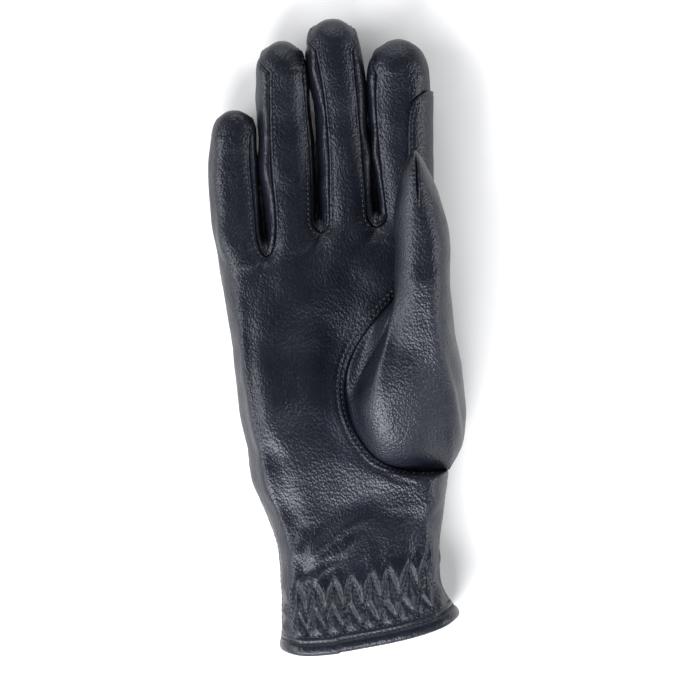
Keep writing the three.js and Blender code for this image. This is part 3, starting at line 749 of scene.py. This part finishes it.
# %% Folds and softness
# Soft folds of the palm side, each from one point to another, in shares of the hand's width and
# of the glove's length. wide and high are in millimetres, and a negative height is a crease.
FOLDS = table(
    "fromAcross fromAlong toAcross toAlong wide high",
    [-0.2, 0.1, 0.13, 0.2, 2.6, 1.4],
    [-0.2, 0.12, 0.03, 0.16, 1.5, -0.9],
    [-0.19, 0.14, 0.14, 0.228, 2.6, 1],
    [-0.16, 0.2, -0.2, 0.15, 2, 0.7],
    [0.42, 0.19, 0.385, 0.148, 0.9, 0.5],
    [0.452, 0.19, 0.43, 0.14, 0.9, 0.5],
    [0.436, 0.19, 0.405, 0.14, 0.8, -0.5],
    [-0.3, 0.6, -0.12, 0.53, 4.5, 0.3],
    [-0.06, 0.64, -0.02, 0.55, 5, 0.3],
    [0.19, 0.65, 0.16, 0.56, 5, 0.3],
    [-0.45, 0.4, 0.25, 0.36, 13, 1.7],
    [-0.4, 0.235, 0.5, 0.235, 13, -1.5],
    [-0.37, 0.5, -0.33, 0.3, 8, 0.6],
)
THUMB_FOLDS = table(
    "fromAcross fromAlong toAcross toAlong wide high",
    [0.352, 0.81, 0.362, 0.69, 0.5, -1.4],
    [0.358, 0.72, 0.41, 0.5, 4, -0.55],
    [0.27, 0.69, 0.17, 0.34, 4.6, 0.9],
    [0.44, 0.69, 0.46, 0.4, 4.6, 0.6],
    [0.2, 0.6, 0.07, 0.38, 4.5, -1],
)


def folds(entries, places):
    """Height of a set of folds at each place, in plan."""
    total = np.zeros(places.shape[:-1])
    for from_x, from_y, to_x, to_y, wide, high in zip(*entries.values()):
        start = np.array([x_of(from_x), y_of(from_y)])
        span = np.array([x_of(to_x), y_of(to_y)]) - start
        length = np.linalg.norm(span)
        offset = places[..., :2] - start
        run = (offset @ span) / length**2
        away = (offset[..., 0] * span[1] - offset[..., 1] * span[0]) / length / MM
        total += high * np.exp(-(away / wide) ** 2) * smooth(run * 4) * smooth((1 - run) * 3)
    return total


chance = np.random.default_rng(7)
WAVES = [(chance.normal(size=3), chance.uniform(0, 2 * math.pi)) for _ in range(14)]
WAVE_SIZES = ((0.03, 0.16), (0.018, 0.09), (0.009, 0.035))  # length in m, height in mm


def softness(places):
    """Slight unevenness that no leather is without, in millimetres."""
    total = np.zeros(places.shape[:-1])
    for i, (direction, phase) in enumerate(WAVES):
        length, height = WAVE_SIZES[i % len(WAVE_SIZES)]
        total += height * np.sin(places @ unit(direction) * 2 * math.pi / length + phase)
    return total


def ring_normals(places):
    """Normals of a sheet whose first and last columns are the same line."""
    return normals_of(np.concatenate([places[:, -2:-1], places, places[:, 1:2]], axis=1))[:, 1:-1]


def raise_by(places, heights, normals=None):
    normals = normals_of(places) if normals is None else normals
    return places + normals * heights[..., None] * MM


# %% [markdown]
# ## Palm and back
# Each is one piece of leather on the real glove, so its four strips are sewn into one mesh.

# %% Palm and back sheets
# Where the shoulder is, how wide and how deep, on the hand and on a finger, in millimetres
SHOULDER = table("centre wide high", [11, 6, -1.5], [4.6, 2.6, -0.6])
SHOULDER_CHANGE = 40  # rows before and after the knuckles in which one turns into the other
SHOULDER_FADE = 12  # rows below the rounded tip
CALM = 2.5  # millimetres from a seam, within which folds and unevenness fade out
GATHERS_CALM = 1.2
HEM_STEPS = 0.7  # rows of the hand's table above the hem, in which the gathers start


def shoulder(strip, places):
    """Rounds the edge between the flat of the palm and its outer side, less so on a finger."""
    away = distance_to(tree_of([strips[1, 0][:, 0] if strip < 2 else right_side]), places)
    row = np.arange(len(places))[:, None]
    finger = smooth((row - len(HAND_ROWS) + SHOULDER_CHANGE) / (2 * SHOULDER_CHANGE))
    centre, wide, high = (mix(*values, finger) for values in SHOULDER.values())
    up = row / ROWS_PER_STEP
    beside_thumb = between(up, THUMB_FIRST_ROW - 2, KNUCKLE_ROW + 1) if strip > 1 else 0
    tip = smooth((len(places) - row - TIP_ROWS) / SHOULDER_FADE)
    return high * np.exp(-((away - centre) / wide) ** 2) * (1 - beside_thumb) * tip


def hand_heights(side, strip):
    """Relief of one strip of the palm or the back, and the distance to the nearest seam."""
    places = strips[side, strip]
    rolled, plain, thumb = (distance_to(tree, places)
                            for tree in (to_fourchettes, to_sides, to_thumb))
    nearest = np.minimum(np.minimum(rolled, plain), thumb)
    heights = height_by(ROLLED, rolled) + height_by(PLAIN, plain)
    heights += height_by(TOPSTITCHED if side > 0 else PLAIN, thumb)
    calm = smooth(nearest / CALM)
    heights += softness(places) * calm
    if side > 0:
        heights += folds(FOLDS, places) * calm + shoulder(strip, places)
    hand = BELOW_FINGERS
    share = share_of(strip, HAND_ROWS[:, None], HAND_COLUMNS)[:, ::side]
    calm = smooth(nearest[hand] / GATHERS_CALM) * smooth(HAND_ROWS / HEM_STEPS)[:, None]
    heights[hand] += gathers(places[hand], share) * calm
    return heights, nearest


def hand_normals(side):
    """Normals of the four strips, the same for two strips on the line that they share."""
    normals = [normals_of(strips[side, strip]) for strip in range(4)]
    hand = BELOW_FINGERS
    for left, right in zip(normals, normals[1:]):
        a, b = (-1, 0) if side > 0 else (0, -1)
        left[hand, a] = right[hand, b] = unit(left[hand, a] + right[hand, b])
    return normals


raised, gaps_to_seam = {}, {}


def hand_sheet(name, side):
    """The palm or the back. Its raised places and gaps to the seams are kept for the stitches."""
    pieces = []
    for strip, normals in enumerate(hand_normals(side)):
        heights, gaps_to_seam[side, strip] = hand_heights(side, strip)
        raised[side, strip] = raise_by(strips[side, strip], heights, normals)
        pieces.append(sheet(f"{name}_{strip}", raised[side, strip]))
    return thicken(join(name, pieces))


palm = hand_sheet("palm_leather", 1)
back = hand_sheet("back_leather", -1)

# %% [markdown]
# ## Strips between the fingers
# A fourchette is a narrow strip that runs up the side of one finger, round the web and up the
# next. Its two halves follow the seams of the two fingers and bulge out between the palm and the
# back.

# %% Fourchettes
FOURCHETTE_COLUMNS = 24
FOURCHETTE_END = 1.86  # where it ends over the fingertip, which runs from 1 to 2
FOURCHETTE_SOFTNESS = 1.6  # of the unevenness elsewhere
FOURCHETTE_CALM = 2  # millimetres


def fourchette_half(number, side):
    """The half of a fourchette that is sewn to one side of a finger."""
    steps = np.concatenate([[0], SHAFT_ROWS, CAP_ROWS[CAP_ROWS < FOURCHETTE_END]])
    sign = -1 if side == "left" else 1
    ends = np.full((len(steps), 1), float(sign))
    front, rear = (finger_point(face, number, steps[:, None], ends)[:, 0] for face in (1, -1))
    _, _, out_x, out_y = finger_edge(number, side, np.minimum(steps, 1))
    inset = FINGERS[number][side] * HAND_WIDTH * inset_left(steps - 1)
    out_x = np.where(steps > 1, front[:, 0] + sign * inset, out_x)
    out_y = np.where(steps > 1, front[:, 1], out_y)
    turn = (np.linspace(0, 1, FOURCHETTE_COLUMNS + 1) - 0.5)[None, :, None] * math.pi
    places = mix(front[:, None], rear[:, None], (np.sin(turn) + 1) / 2)
    bulge = np.cos(turn[..., 0])
    places[..., 0] += (out_x - front[:, 0])[:, None] * bulge
    places[..., 1] += (out_y - front[:, 1])[:, None] * bulge
    places = places[:, ::sign]
    away = distance_to(to_fourchettes, places)
    heights = softness(places) * smooth(away / FOURCHETTE_CALM) * FOURCHETTE_SOFTNESS
    heights += height_by(STRIP_EDGE, away)
    return sheet(f"fourchette_{number}_{side}", raise_by(places, heights))


def add_fourchette(number):
    name = f"fourchette_{FINGERS[number]['name']}_{FINGERS[number + 1]['name']}"
    halves = [fourchette_half(number, "right"), fourchette_half(number + 1, "left")]
    return thicken(join(name + "_leather", halves))


fourchettes = [add_fourchette(number) for number in range(3)]

# %% [markdown]
# ## Thumb
# The thumb is set into an oval opening. Its leather swells out of that seam over the ball of the
# thumb and closes in a narrow, pinched tip.

# %% Thumb sheet
BALL_STEPS = np.linspace(0, 1, 46)
RING_STEPS = np.linspace(0, len(THUMB["along"]) - 1, 64)[1:]
NORMAL_PASSES = 400
THUMB_CALM = 3  # millimetres from the seam
TIP_CALM = 4  # rows from the tip
FOLD_FACING = 1.6  # folds are there in full where the leather faces up more than 1 / this

# From where to where round the seam, as angles from the palm's corner over the crotch to the
# back's corner, and over what angle each starts and ends: behind the thumb the leather stands out
# less, and beside the ball it leaves the seam flat and then swells up late
BEHIND = (math.pi, 2 * math.pi, 0.5, 0.6)
HOLLOW = (0.24 * math.pi, 0.98 * math.pi, 0.7, 0.6)
HOLLOW_STAND = 0.1
HOLLOW_SWELL = 2.1


def thumb_ring(step, angle):
    """Places round the thumb at a row of its table that may lie between two rows."""
    at = {name: row_value(THUMB, name, step) for name in THUMB}
    tilt = np.radians(at["tilt"])
    deep, wide = (np.sign(turn) * np.abs(turn) ** (2 / THUMB_SQUARENESS)
                  for turn in (np.cos(angle), np.sin(angle)))
    reach = np.maximum(at["deep"], 0) * GLOVE_LENGTH * deep
    x = x_of(at["across"]) - np.maximum(at["wide"], 0) * HAND_WIDTH * wide
    y, z = y_of(at["along"]) - np.cos(tilt) * reach, z_of(at["level"]) + np.sin(tilt) * reach
    return np.stack([x, y, z], axis=-1)


def thumb_seam():
    """Places and normals round the thumb's seam, up the palm's side and down the back's."""
    places, normals = [], []
    for side, column, way in ((1, -1, 1), (-1, 0, -1)):
        places.append(strips[side, 3][THUMB_ROWS, column][::way])
        normals.append(normals_of(strips[side, 3])[THUMB_ROWS, column][::way])
    front, rear = normals
    crotch, corner = (front[-1] + rear[0]) / 2, (front[0] + rear[-1]) / 2
    ring = np.concatenate([[corner], front[1:-1], [crotch], rear[1:-1]])
    ring = eased(ring, NORMAL_PASSES, ring=True)
    return np.concatenate([places[0], places[1][1:]]), unit(closed(ring))


def thumb_places():
    """Places of the ball, from the seam to the first ring, and of the rings above it."""
    seam, normal = thumb_seam()
    angle = np.linspace(0, 2 * math.pi, len(seam))
    own = thumb_ring(np.zeros(len(seam)), angle)
    tilt = math.radians(THUMB["tilt"][0])
    axis = np.array([0, math.sin(tilt), math.cos(tilt)])
    centre = np.array([x_of(THUMB["across"][0]), y_of(THUMB["along"][0])])
    swell = np.linalg.norm(own - seam, axis=1, keepdims=True) * BALL_SWELL
    facing, behind, hollow = (values[:, None] for values in (
        (1 + np.cos(angle)) / 2, between(angle, *BEHIND), between(angle, *HOLLOW)))
    lean = unit(centre - seam[:, :2]) * (BALL_LEAN * facing)
    stand = mix(mix(1, BALL_STAND, behind), HOLLOW_STAND, hollow)
    leave = np.concatenate([lean, mix(BALL_RISE, 0, hollow)], axis=1) + normal * stand
    leave = unit(leave) * swell * mix(1, HOLLOW_SWELL, hollow)
    ball = cubic(seam, own, leave, axis * swell, BALL_STEPS[:, None, None])
    return np.concatenate([ball, thumb_ring(RING_STEPS[:, None], angle)])[:, ::-1]


def add_thumb():
    places = thumb_places()
    away = distance_to(to_thumb, places)
    calm = smooth(away / THUMB_CALM)
    normals = ring_normals(places)
    heights = height_by(THUMB_EDGE, away) + softness(places) * calm
    heights += folds(THUMB_FOLDS, places) * calm * smooth(normals[..., 2] * FOLD_FACING)
    heights *= smooth((len(places) - 1 - np.arange(len(places))) / TIP_CALM)[:, None]
    top = raise_by(places, heights, normals)
    return thicken(join("thumb_leather", [sheet("thumb_sheet", top)])), top


thumb, thumb_top = add_thumb()

# %% [markdown]
# ## Reinforcement on the forefinger
# The reins run over the side of the forefinger, so a second layer of leather is sewn on there. It
# lies on the finger's own sheet, with a turned edge and a row of stitches just inside it.

# %% Reinforcement sheet
PATCH_COLUMNS = 40
PATCH_ROWS = 96
PATCH_GRADING = 1.5
PATCH_TOP = 1.5  # how far its outer face stands above the finger, in millimetres
PATCH_LEATHER = 0.0009
PATCH_SOFTNESS = 0.3
PATCH_EDGE = ((0, -0.5), (0.15, -0.2), (0.5, 0), (1.0, -0.02), (1.4, -0.22), (1.8, -0.04), (2.6, 0))


def patch_places():
    """Places under the reinforcement, from the finger's front round its side to its back."""
    row = 1 - (1 - np.linspace(0, 1, PATCH_ROWS + 1)) ** PATCH_GRADING
    share = mix(PATCH["share"][0], PATCH["share"][-1], row)[:, None]
    near, rear = (curve(PATCH["share"], PATCH[name], share) for name in ("near", "back"))
    over = np.sin(np.linspace(0, 0.5, PATCH_COLUMNS // 2 + 1) * math.pi)[None, :]
    front = finger_point(1, 3, share, mix(near, 1, over))
    under = finger_point(-1, 3, share, mix(1, rear, 1 - over[:, ::-1]))
    return np.concatenate([front, under[:, 1:]], axis=1)


def add_patch():
    places = patch_places()
    rows = [places[0], places[-1], places[:, 0], places[:, -1]]
    inside = distance_to(tree_of([fine(row, 0.0002) for row in rows]), places)
    heights = PATCH_TOP + height_by(PATCH_EDGE, inside) + softness(places) * PATCH_SOFTNESS
    top = raise_by(places, heights)
    return thicken(sheet("index_patch_leather", top), PATCH_LEATHER), top, inside


patch, patch_top, patch_inside = add_patch()

# %% [markdown]
# ## Bound hem
# The wrist ends in a binding: a narrow strip that is stitched on, turned over the edge and
# stitched down again. Its section is one outline that runs round the hem, with a small step where
# its ends meet.

# %% Binding
# Height up the glove and height out of the leather, in millimetres, from the strip's upper edge,
# down the outside, round the hem and up the inside
BINDING_SECTION = (
    (6.1, -0.4), (6, 0.2), (5.7, 0.52), (5.2, 0.62), (4.7, 0.55), (4.3, 0.3), (4, 0.1), (3.7, 0.28),
    (3.4, 0.65), (2.9, 0.95), (2.2, 1.12), (1.3, 1.15), (0.4, 0.98), (-0.3, 0.6), (-0.75, 0),
    (-0.9, -0.7), (-0.7, -1.4), (-0.1, -1.9), (0.8, -2.1), (2.4, -2), (4, -1.8), (5, -1.4),
    (5.2, -0.7),
)
BINDING_DROP = 4.3  # how far the section is carried down past the end of the hand's leather
BINDING_JOINT = 0.0  # where its ends meet, across the palm
BINDING_STEP = 0.4
HEM_POINTS = 260
HEM_PASSES = 30
UP_ROWS = 8  # above the hem, where the way up the glove is taken


def hem_ring():
    """Places round the hem, with the directions up the glove and out of the leather."""
    parts = [raised[1, i] for i in range(4)] + [raised[-1, i] for i in reversed(range(4))]
    low, high = (closed(np.concatenate([part[row][:-1] for part in parts]))
                 for row in (0, UP_ROWS))
    along = lengths_along(low)
    at = np.linspace(0, along[-1], HEM_POINTS, endpoint=False)
    hem, above = (eased(read_at(line, along, at), HEM_PASSES, ring=True) for line in (low, high))
    up = unit(above - hem)
    return hem, up, unit(np.cross(np.roll(hem, -1, axis=0) - np.roll(hem, 1, axis=0), up))


hem, hem_up, hem_out = hem_ring()
hem_lowered = np.where((hem[:, 0] < x_of(BINDING_JOINT)) & (hem_out[:, 2] > 0), BINDING_STEP, 0)


def beside_hem(rise, out):
    """Places round the hem at a rise and a distance out of the leather, in millimetres."""
    rise = (rise - hem_lowered - BINDING_DROP)[:, None] * MM
    return hem + hem_up * rise + hem_out * out * MM


def add_binding():
    pick()
    bpy.ops.mesh.primitive_torus_add(major_segments=HEM_POINTS, minor_segments=len(BINDING_SECTION))
    places = np.stack([beside_hem(*point) for point in BINDING_SECTION[::-1]], axis=1)
    piece = moved_to("hem_binding", places)
    edit_all(bpy.ops.mesh.normals_make_consistent, inside=False)
    rounder = piece.modifiers.new("soft", "SUBSURF")
    rounder.levels = rounder.render_levels = 1
    bpy.ops.object.modifier_apply(modifier=rounder.name)
    return piece


binding = add_binding()

# %% [markdown]
# ## Stitches
# All seams are sewn with one thread. A stitch is a short piece of thread whose ends dive into the
# leather, and a row of them is copied along a line that keeps its distance from the seam.

# %% Rows of stitches
THREAD = 0.27  # radius, in millimetres
THREAD_ARCH, THREAD_SUNK = 1.3, 0.9  # of that radius
STITCH_SIDES = 6
STITCH_RINGS = 7
rows_of_stitches = []


def with_normals(places, base):
    return np.concatenate([places, normals_of(base)], axis=-1)


def hand_surface(side, strip):
    return with_normals(raised[side, strip], strips[side, strip])


def inset_line(surface, away, distance, side, first=0, last=None):
    """The line at a distance inside the left or right edge of a sheet, row by row."""
    line = []
    for row, gaps in zip(surface[first:last], away[first:last]):
        if side == "right":
            row, gaps = row[::-1], gaps[::-1]
        i = int(np.argmax(gaps >= distance))
        if i > 0:
            line.append(mix(row[i - 1], row[i], (distance - gaps[i - 1]) / (gaps[i] - gaps[i - 1])))
    return np.array(line)


def stitch(line, pitch, share=0.72, lift=0.0):
    """Adds stitches along a line of places and normals. Of each step, a share is thread."""
    along = lengths_along(line)
    count = int(along[-1] / (pitch * MM))
    u = np.linspace(0, 1, STITCH_RINGS)
    at = (np.arange(count)[:, None] + 0.5 + (u - 0.5) * share) * along[-1] / count
    values = read_at(line, along, at)
    centre, normal = values[..., :3], unit(values[..., 3:])[..., None, :]
    side = np.cross(unit(np.gradient(centre, axis=1))[..., None, :], normal)
    arch = (np.sin(math.pi * u) * THREAD_ARCH - THREAD_SUNK) * THREAD + lift
    radius = THREAD * np.sqrt(np.sin(math.pi * (0.02 + 0.96 * u)))  # a little open at both ends
    turn = np.arange(STITCH_SIDES)[:, None] / STITCH_SIDES * 2 * math.pi
    ring = (np.cos(turn) * normal + np.sin(turn) * side) * radius[:, None, None]
    rows_of_stitches.append(centre[..., None, :] + (normal * arch[:, None, None] + ring) * MM)


# %% Stitched seams
# Distances from the seam and lengths from stitch to stitch, in millimetres
SEAM_GAP, SEAM_PITCH = 1.7, 1.9
TOPSTITCH_GAPS, TOPSTITCH_PITCH = (1.55, 3.15), 2.0
SIDE_GAP, SIDE_PITCH, SIDE_ROWS = 1.2, 2.1, (6, 60)
PATCH_GAP = 1.4
TIP_GAP, TIP_PITCH = 0.9, 1.8
FACES_UP = 0.3  # least height of a normal that counts as facing up

for part_side in (1, -1):
    for number, finger in enumerate(FINGERS):
        for edge, opposite in (("left", "right"), ("right", "left")):
            if finger[edge] is not None:
                stitch(inset_line(hand_surface(part_side, number), gaps_to_seam[part_side, number],
                                  SEAM_GAP, edge if part_side > 0 else opposite,
                                  LAST_HAND_ROW + 3, -TIP_ROWS // 3), SEAM_PITCH)

for distance in TOPSTITCH_GAPS:
    stitch(inset_line(hand_surface(1, 3), gaps_to_seam[1, 3], distance, "right",
                      FIRST + 4, LAST_HAND_ROW - 2), TOPSTITCH_PITCH)
stitch(inset_line(hand_surface(1, 0), gaps_to_seam[1, 0], SIDE_GAP, "left", *SIDE_ROWS),
       SIDE_PITCH, lift=-0.05)

patch_surface = with_normals(patch_top, patch_top)
for surface, away, edge, first, last in (
        (patch_surface, patch_inside, "left", 6, -3),
        (patch_surface, patch_inside, "right", 6, -3),
        (patch_surface.swapaxes(0, 1), patch_inside.T, "left", 4, -4)):
    stitch(inset_line(surface, away, PATCH_GAP, edge, first, last), SEAM_PITCH)

TIP_SEAM = table("across along", [0.3525, 0.775], [0.3545, 0.75], [0.3575, 0.725], [0.36, 0.705])


def tip_stitches():
    """A short row of stitches beside the pinched seam at the thumb's tip."""
    upper = with_normals(thumb_top, thumb_top).reshape(-1, 6)
    upper = upper[upper[:, 5] > FACES_UP]
    tree = tree_of([upper[:, :3] * (1, 1, 0)])
    line = []
    for t in np.linspace(0, len(TIP_SEAM["along"]) - 1, 30):
        x, y = x_of(row_value(TIP_SEAM, "across", t)), y_of(row_value(TIP_SEAM, "along", t))
        line.append(upper[tree.find((x - TIP_GAP * MM, y, 0))[1]])
    stitch(np.array(line), TIP_PITCH)


tip_stitches()

# %% Zigzag stitches of the wrist
ZIGZAG_PITCH, ZIGZAG_SHARE = 1.75, 0.8
ZIGZAG_POINTS = np.linspace(0.012, 0.988, 500)  # as shares of the hand's width


def zigzag_line(side, row):
    """A zigzag on the palm or the back, found where its share and its height up the glove meet."""
    parts = [hand_surface(side, i)[:FIRST, ::side][:, :-1] for i in range(4)]
    shares = [share_of(i, HAND_ROWS[:FIRST, None], HAND_COLUMNS[:FIRST])[:, :-1] for i in range(4)]
    surface, shares = (np.concatenate(values, axis=1) for values in (parts, shares))
    rows, columns = np.arange(surface.shape[0]), np.arange(surface.shape[1])
    line = []
    for share in ZIGZAG_POINTS:
        along, _, _ = zigzag_along(row, share)
        at = 20.0  # a first guess, in rows, that four rounds make exact
        for _ in range(4):
            column = np.interp(share, shares[int(np.clip(at, 0, len(shares) - 2))], columns)
            left = int(min(column, columns[-2]))
            lane = mix(surface[:, left], surface[:, left + 1], column - left)
            at = np.interp(y_of(along), lane[:, 1], rows)
        line.append(read_at(lane, rows, at))
    return np.array(line)


for part_side in (1, -1):
    for row in (0, 1):
        stitch(zigzag_line(part_side, row), ZIGZAG_PITCH, share=ZIGZAG_SHARE, lift=0.02)

# %% Stitches of the binding, and all of them as one piece
BINDING_ROWS = ((6.25, 0.05), (4.0, 0.16))  # their rise and their distance out of the leather

for rise, out in BINDING_ROWS:
    stitch(closed(np.concatenate([beside_hem(rise, out), hem_out], axis=1)), SEAM_PITCH, lift=0.12)


def add_stitches():
    places = np.concatenate(rows_of_stitches).reshape(-1, 3)
    size = STITCH_RINGS * STITCH_SIDES
    count = len(places) // size
    ring, side = np.divmod(np.arange(size - STITCH_SIDES), STITCH_SIDES)
    near, far = ring * STITCH_SIDES, (ring + 1) * STITCH_SIDES
    after = (side + 1) % STITCH_SIDES
    one = np.stack([near + side, far + side, far + after, near + after], axis=-1)
    faces = (one + np.arange(count)[:, None, None] * size).reshape(-1, 4)
    mesh = bpy.data.meshes.new("stitches")
    mesh.from_pydata(places.tolist(), [], faces.tolist())
    piece = bpy.data.objects.new("stitches", mesh)
    bpy.context.scene.collection.objects.link(piece)
    pick(piece)
    edit_all(bpy.ops.mesh.normals_make_consistent, inside=False)
    bpy.ops.object.shade_smooth()
    print(count, "stitches")
    return piece


stitches = add_stitches()

# %% [markdown]
# ## Materials
# Shader maths is written as ordinary expressions on a small class that stands for a socket.

# %% Node maths
class Value:
    """A socket of a material whose operators add Math nodes."""

    def __init__(self, tree, socket):
        self.tree = tree
        self.socket = socket

    def node(self, kind, inputs=None, output=0, **settings):
        node = self.tree.nodes.new(kind)
        for name, value in settings.items():
            setattr(node, name, value)
        for name, value in (inputs or {}).items():
            if isinstance(value, Value):
                self.tree.links.new(value.socket, node.inputs[name])
            else:
                node.inputs[name].default_value = value
        return Value(self.tree, node.outputs[output])

    def maths(self, operation, a, b):
        return self.node("ShaderNodeMath", {0: a, 1: b}, operation=operation)

    def __add__(self, other):
        return self.maths("ADD", self, other)

    def __radd__(self, other):
        return self.maths("ADD", other, self)

    def __sub__(self, other):
        return self.maths("SUBTRACT", self, other)

    def __rsub__(self, other):
        return self.maths("SUBTRACT", other, self)

    def __mul__(self, other):
        return self.maths("MULTIPLY", self, other)

    def __rmul__(self, other):
        return self.maths("MULTIPLY", other, self)


def new_material(name):
    material = bpy.data.materials.new(name)
    material.use_nodes = True
    tree = material.node_tree
    shader = tree.nodes["Principled BSDF"]
    places = tree.nodes.new("ShaderNodeTexCoord")
    return material, tree, shader, Value(tree, places.outputs["Object"])


def feed(tree, value, shader, name):
    tree.links.new(value.socket, shader.inputs[name])


# %% Leather, binding and thread
def leather(name, dark, light, roughness, grain):
    """Fine-grained leather: pebbles under a soft wrinkle, and a little wear in the colour."""
    material, tree, shader, place = new_material(name)
    stretched = place.node("ShaderNodeMapping", {"Vector": place, "Scale": (1.1, 0.85, 1.1)})
    pebbles, small = (
        place.node("ShaderNodeTexVoronoi", feature="SMOOTH_F1",
                   inputs={"Vector": stretched, "Scale": scale, "Smoothness": smoothness})
        for scale, smoothness in ((1150, 0.6), (2300, 0.5)))
    wrinkle, wear = (
        place.node("ShaderNodeTexNoise",
                   {"Vector": place, "Scale": scale, "Detail": detail, "Roughness": coarseness})
        for scale, detail, coarseness in ((260, 3, 0.6), (55, 4, 0.55)))
    height = 1 - pebbles * 1.2 - small * 0.3 + wrinkle * 0.5
    bump = place.node("ShaderNodeBump", {"Height": height, "Strength": 1.0, "Distance": grain * MM})
    ramp = place.node("ShaderNodeValToRGB", {"Fac": wear})
    stops = ramp.socket.node.color_ramp.elements
    stops[0].position, stops[0].color = 0.35, (*dark, 1)
    stops[1].position, stops[1].color = 0.65, (*light, 1)
    feed(tree, ramp, shader, "Base Color")
    feed(tree, roughness + (wear - 0.5) * 0.16 + (pebbles - 0.4) * 0.08, shader, "Roughness")
    feed(tree, bump, shader, "Normal")
    shader.inputs["Specular Tint"].default_value = (0.87, 0.91, 1.0, 1)
    return material


def thread_material():
    material, _, shader, _ = new_material("thread")
    shader.inputs["Base Color"].default_value = (0.02, 0.023, 0.036, 1)
    shader.inputs["Roughness"].default_value = 0.5
    return material


HIDE_DARK, HIDE_LIGHT = (0.0014, 0.0021, 0.0058), (0.0026, 0.0038, 0.0092)
FINISHES = {
    "leather": leather("navy_leather", HIDE_DARK, HIDE_LIGHT, 0.4, 0.16),
    "reinforcement": leather("reinforcement_leather", HIDE_DARK, HIDE_LIGHT, 0.4, 0.15),
    "binding": leather("binding_leather", HIDE_DARK, HIDE_LIGHT, 0.38, 0.11),
}


def finish_piece(piece, slot_name, *nodes):
    piece.data.materials.clear()
    piece.data.materials.append(FINISHES[slot_name])
    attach(piece, "root")
    if nodes:
        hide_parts(*nodes)


finish_piece(palm, "leather", "palm_panel")
finish_piece(back, "leather", "back_panel")
for fourchette, pair in zip(fourchettes, ("little_ring", "ring_middle", "middle_index")):
    finish_piece(fourchette, "leather", f"fourchette_{pair}")
finish_piece(thumb, "leather", "thumb")
finish_piece(patch, "reinforcement", "index_patch")
finish_piece(binding, "binding", "cuff_binding")
stitches.data.materials.append(thread_material())
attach(stitches, "root")

# %% [markdown]
# ## Floor and light
# The glove lies on a pale floor. The light comes low from both sides and from beyond the
# fingertips, so the flat of the palm stays dark and the edges of the fingers catch the light.

# %% Floor
FLOOR_GAP = 0.00005
floor_level = min(corner[2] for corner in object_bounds()) - FLOOR_GAP
pick()
bpy.ops.mesh.primitive_plane_add(size=14, location=(0, 0, floor_level))
floor = bpy.context.object
floor.name = "floor"
paper, _, paper_shader, _ = new_material("paper")
paper_shader.inputs["Base Color"].default_value = (0.93, 0.93, 0.93, 1)
paper_shader.inputs["Roughness"].default_value = 0.9
paper_shader.inputs["Specular IOR Level"].default_value = 0.1
floor.data.materials.append(paper)
floor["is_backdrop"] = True

# %% Soft boxes and room
LIT_PLACE = Vector((0, 0, GLOVE_MIDDLE))


def soft_box(name, place, size, power):
    data = bpy.data.lights.new(name, "AREA")
    data.shape = "RECTANGLE"
    data.size, data.size_y = size
    data.energy = power
    light = bpy.data.objects.new(name, data)
    bpy.context.scene.collection.objects.link(light)
    light.location = place
    light.rotation_euler = (LIT_PLACE - Vector(place)).to_track_quat("-Z", "Y").to_euler()


soft_box("left_box", (-0.9, -0.1, 0.62), (0.9, 0.5), 11.5)
soft_box("right_box", (0.9, -0.1, 0.55), (0.9, 0.4), 8)
soft_box("far_box", (0.0, 1.0, 0.45), (0.8, 0.3), 4)
soft_box("near_box", (-0.25, -0.85, 0.7), (0.8, 0.4), 20)


def add_room():
    """Pale walls and a dim ceiling, as one gradient from the horizon up."""
    world = bpy.data.worlds.new("room")
    bpy.context.scene.world = world
    world.use_nodes = True
    tree = world.node_tree
    way = Value(tree, tree.nodes.new("ShaderNodeTexCoord").outputs["Generated"])
    parts = way.node("ShaderNodeSeparateXYZ", {"Vector": way}, output="Z")
    ramp = way.node("ShaderNodeValToRGB", {"Fac": parts})
    stops = ramp.socket.node.color_ramp.elements
    stops[0].position, stops[0].color = 0.1, (0.4, 0.42, 0.47, 1)
    stops[1].position, stops[1].color = 0.75, (0.02, 0.022, 0.028, 1)
    tree.links.new(ramp.socket, tree.nodes["Background"].inputs["Color"])
    tree.nodes["Background"].inputs["Strength"].default_value = 0.9


add_room()
bpy.context.scene.view_settings.view_transform = "Standard"
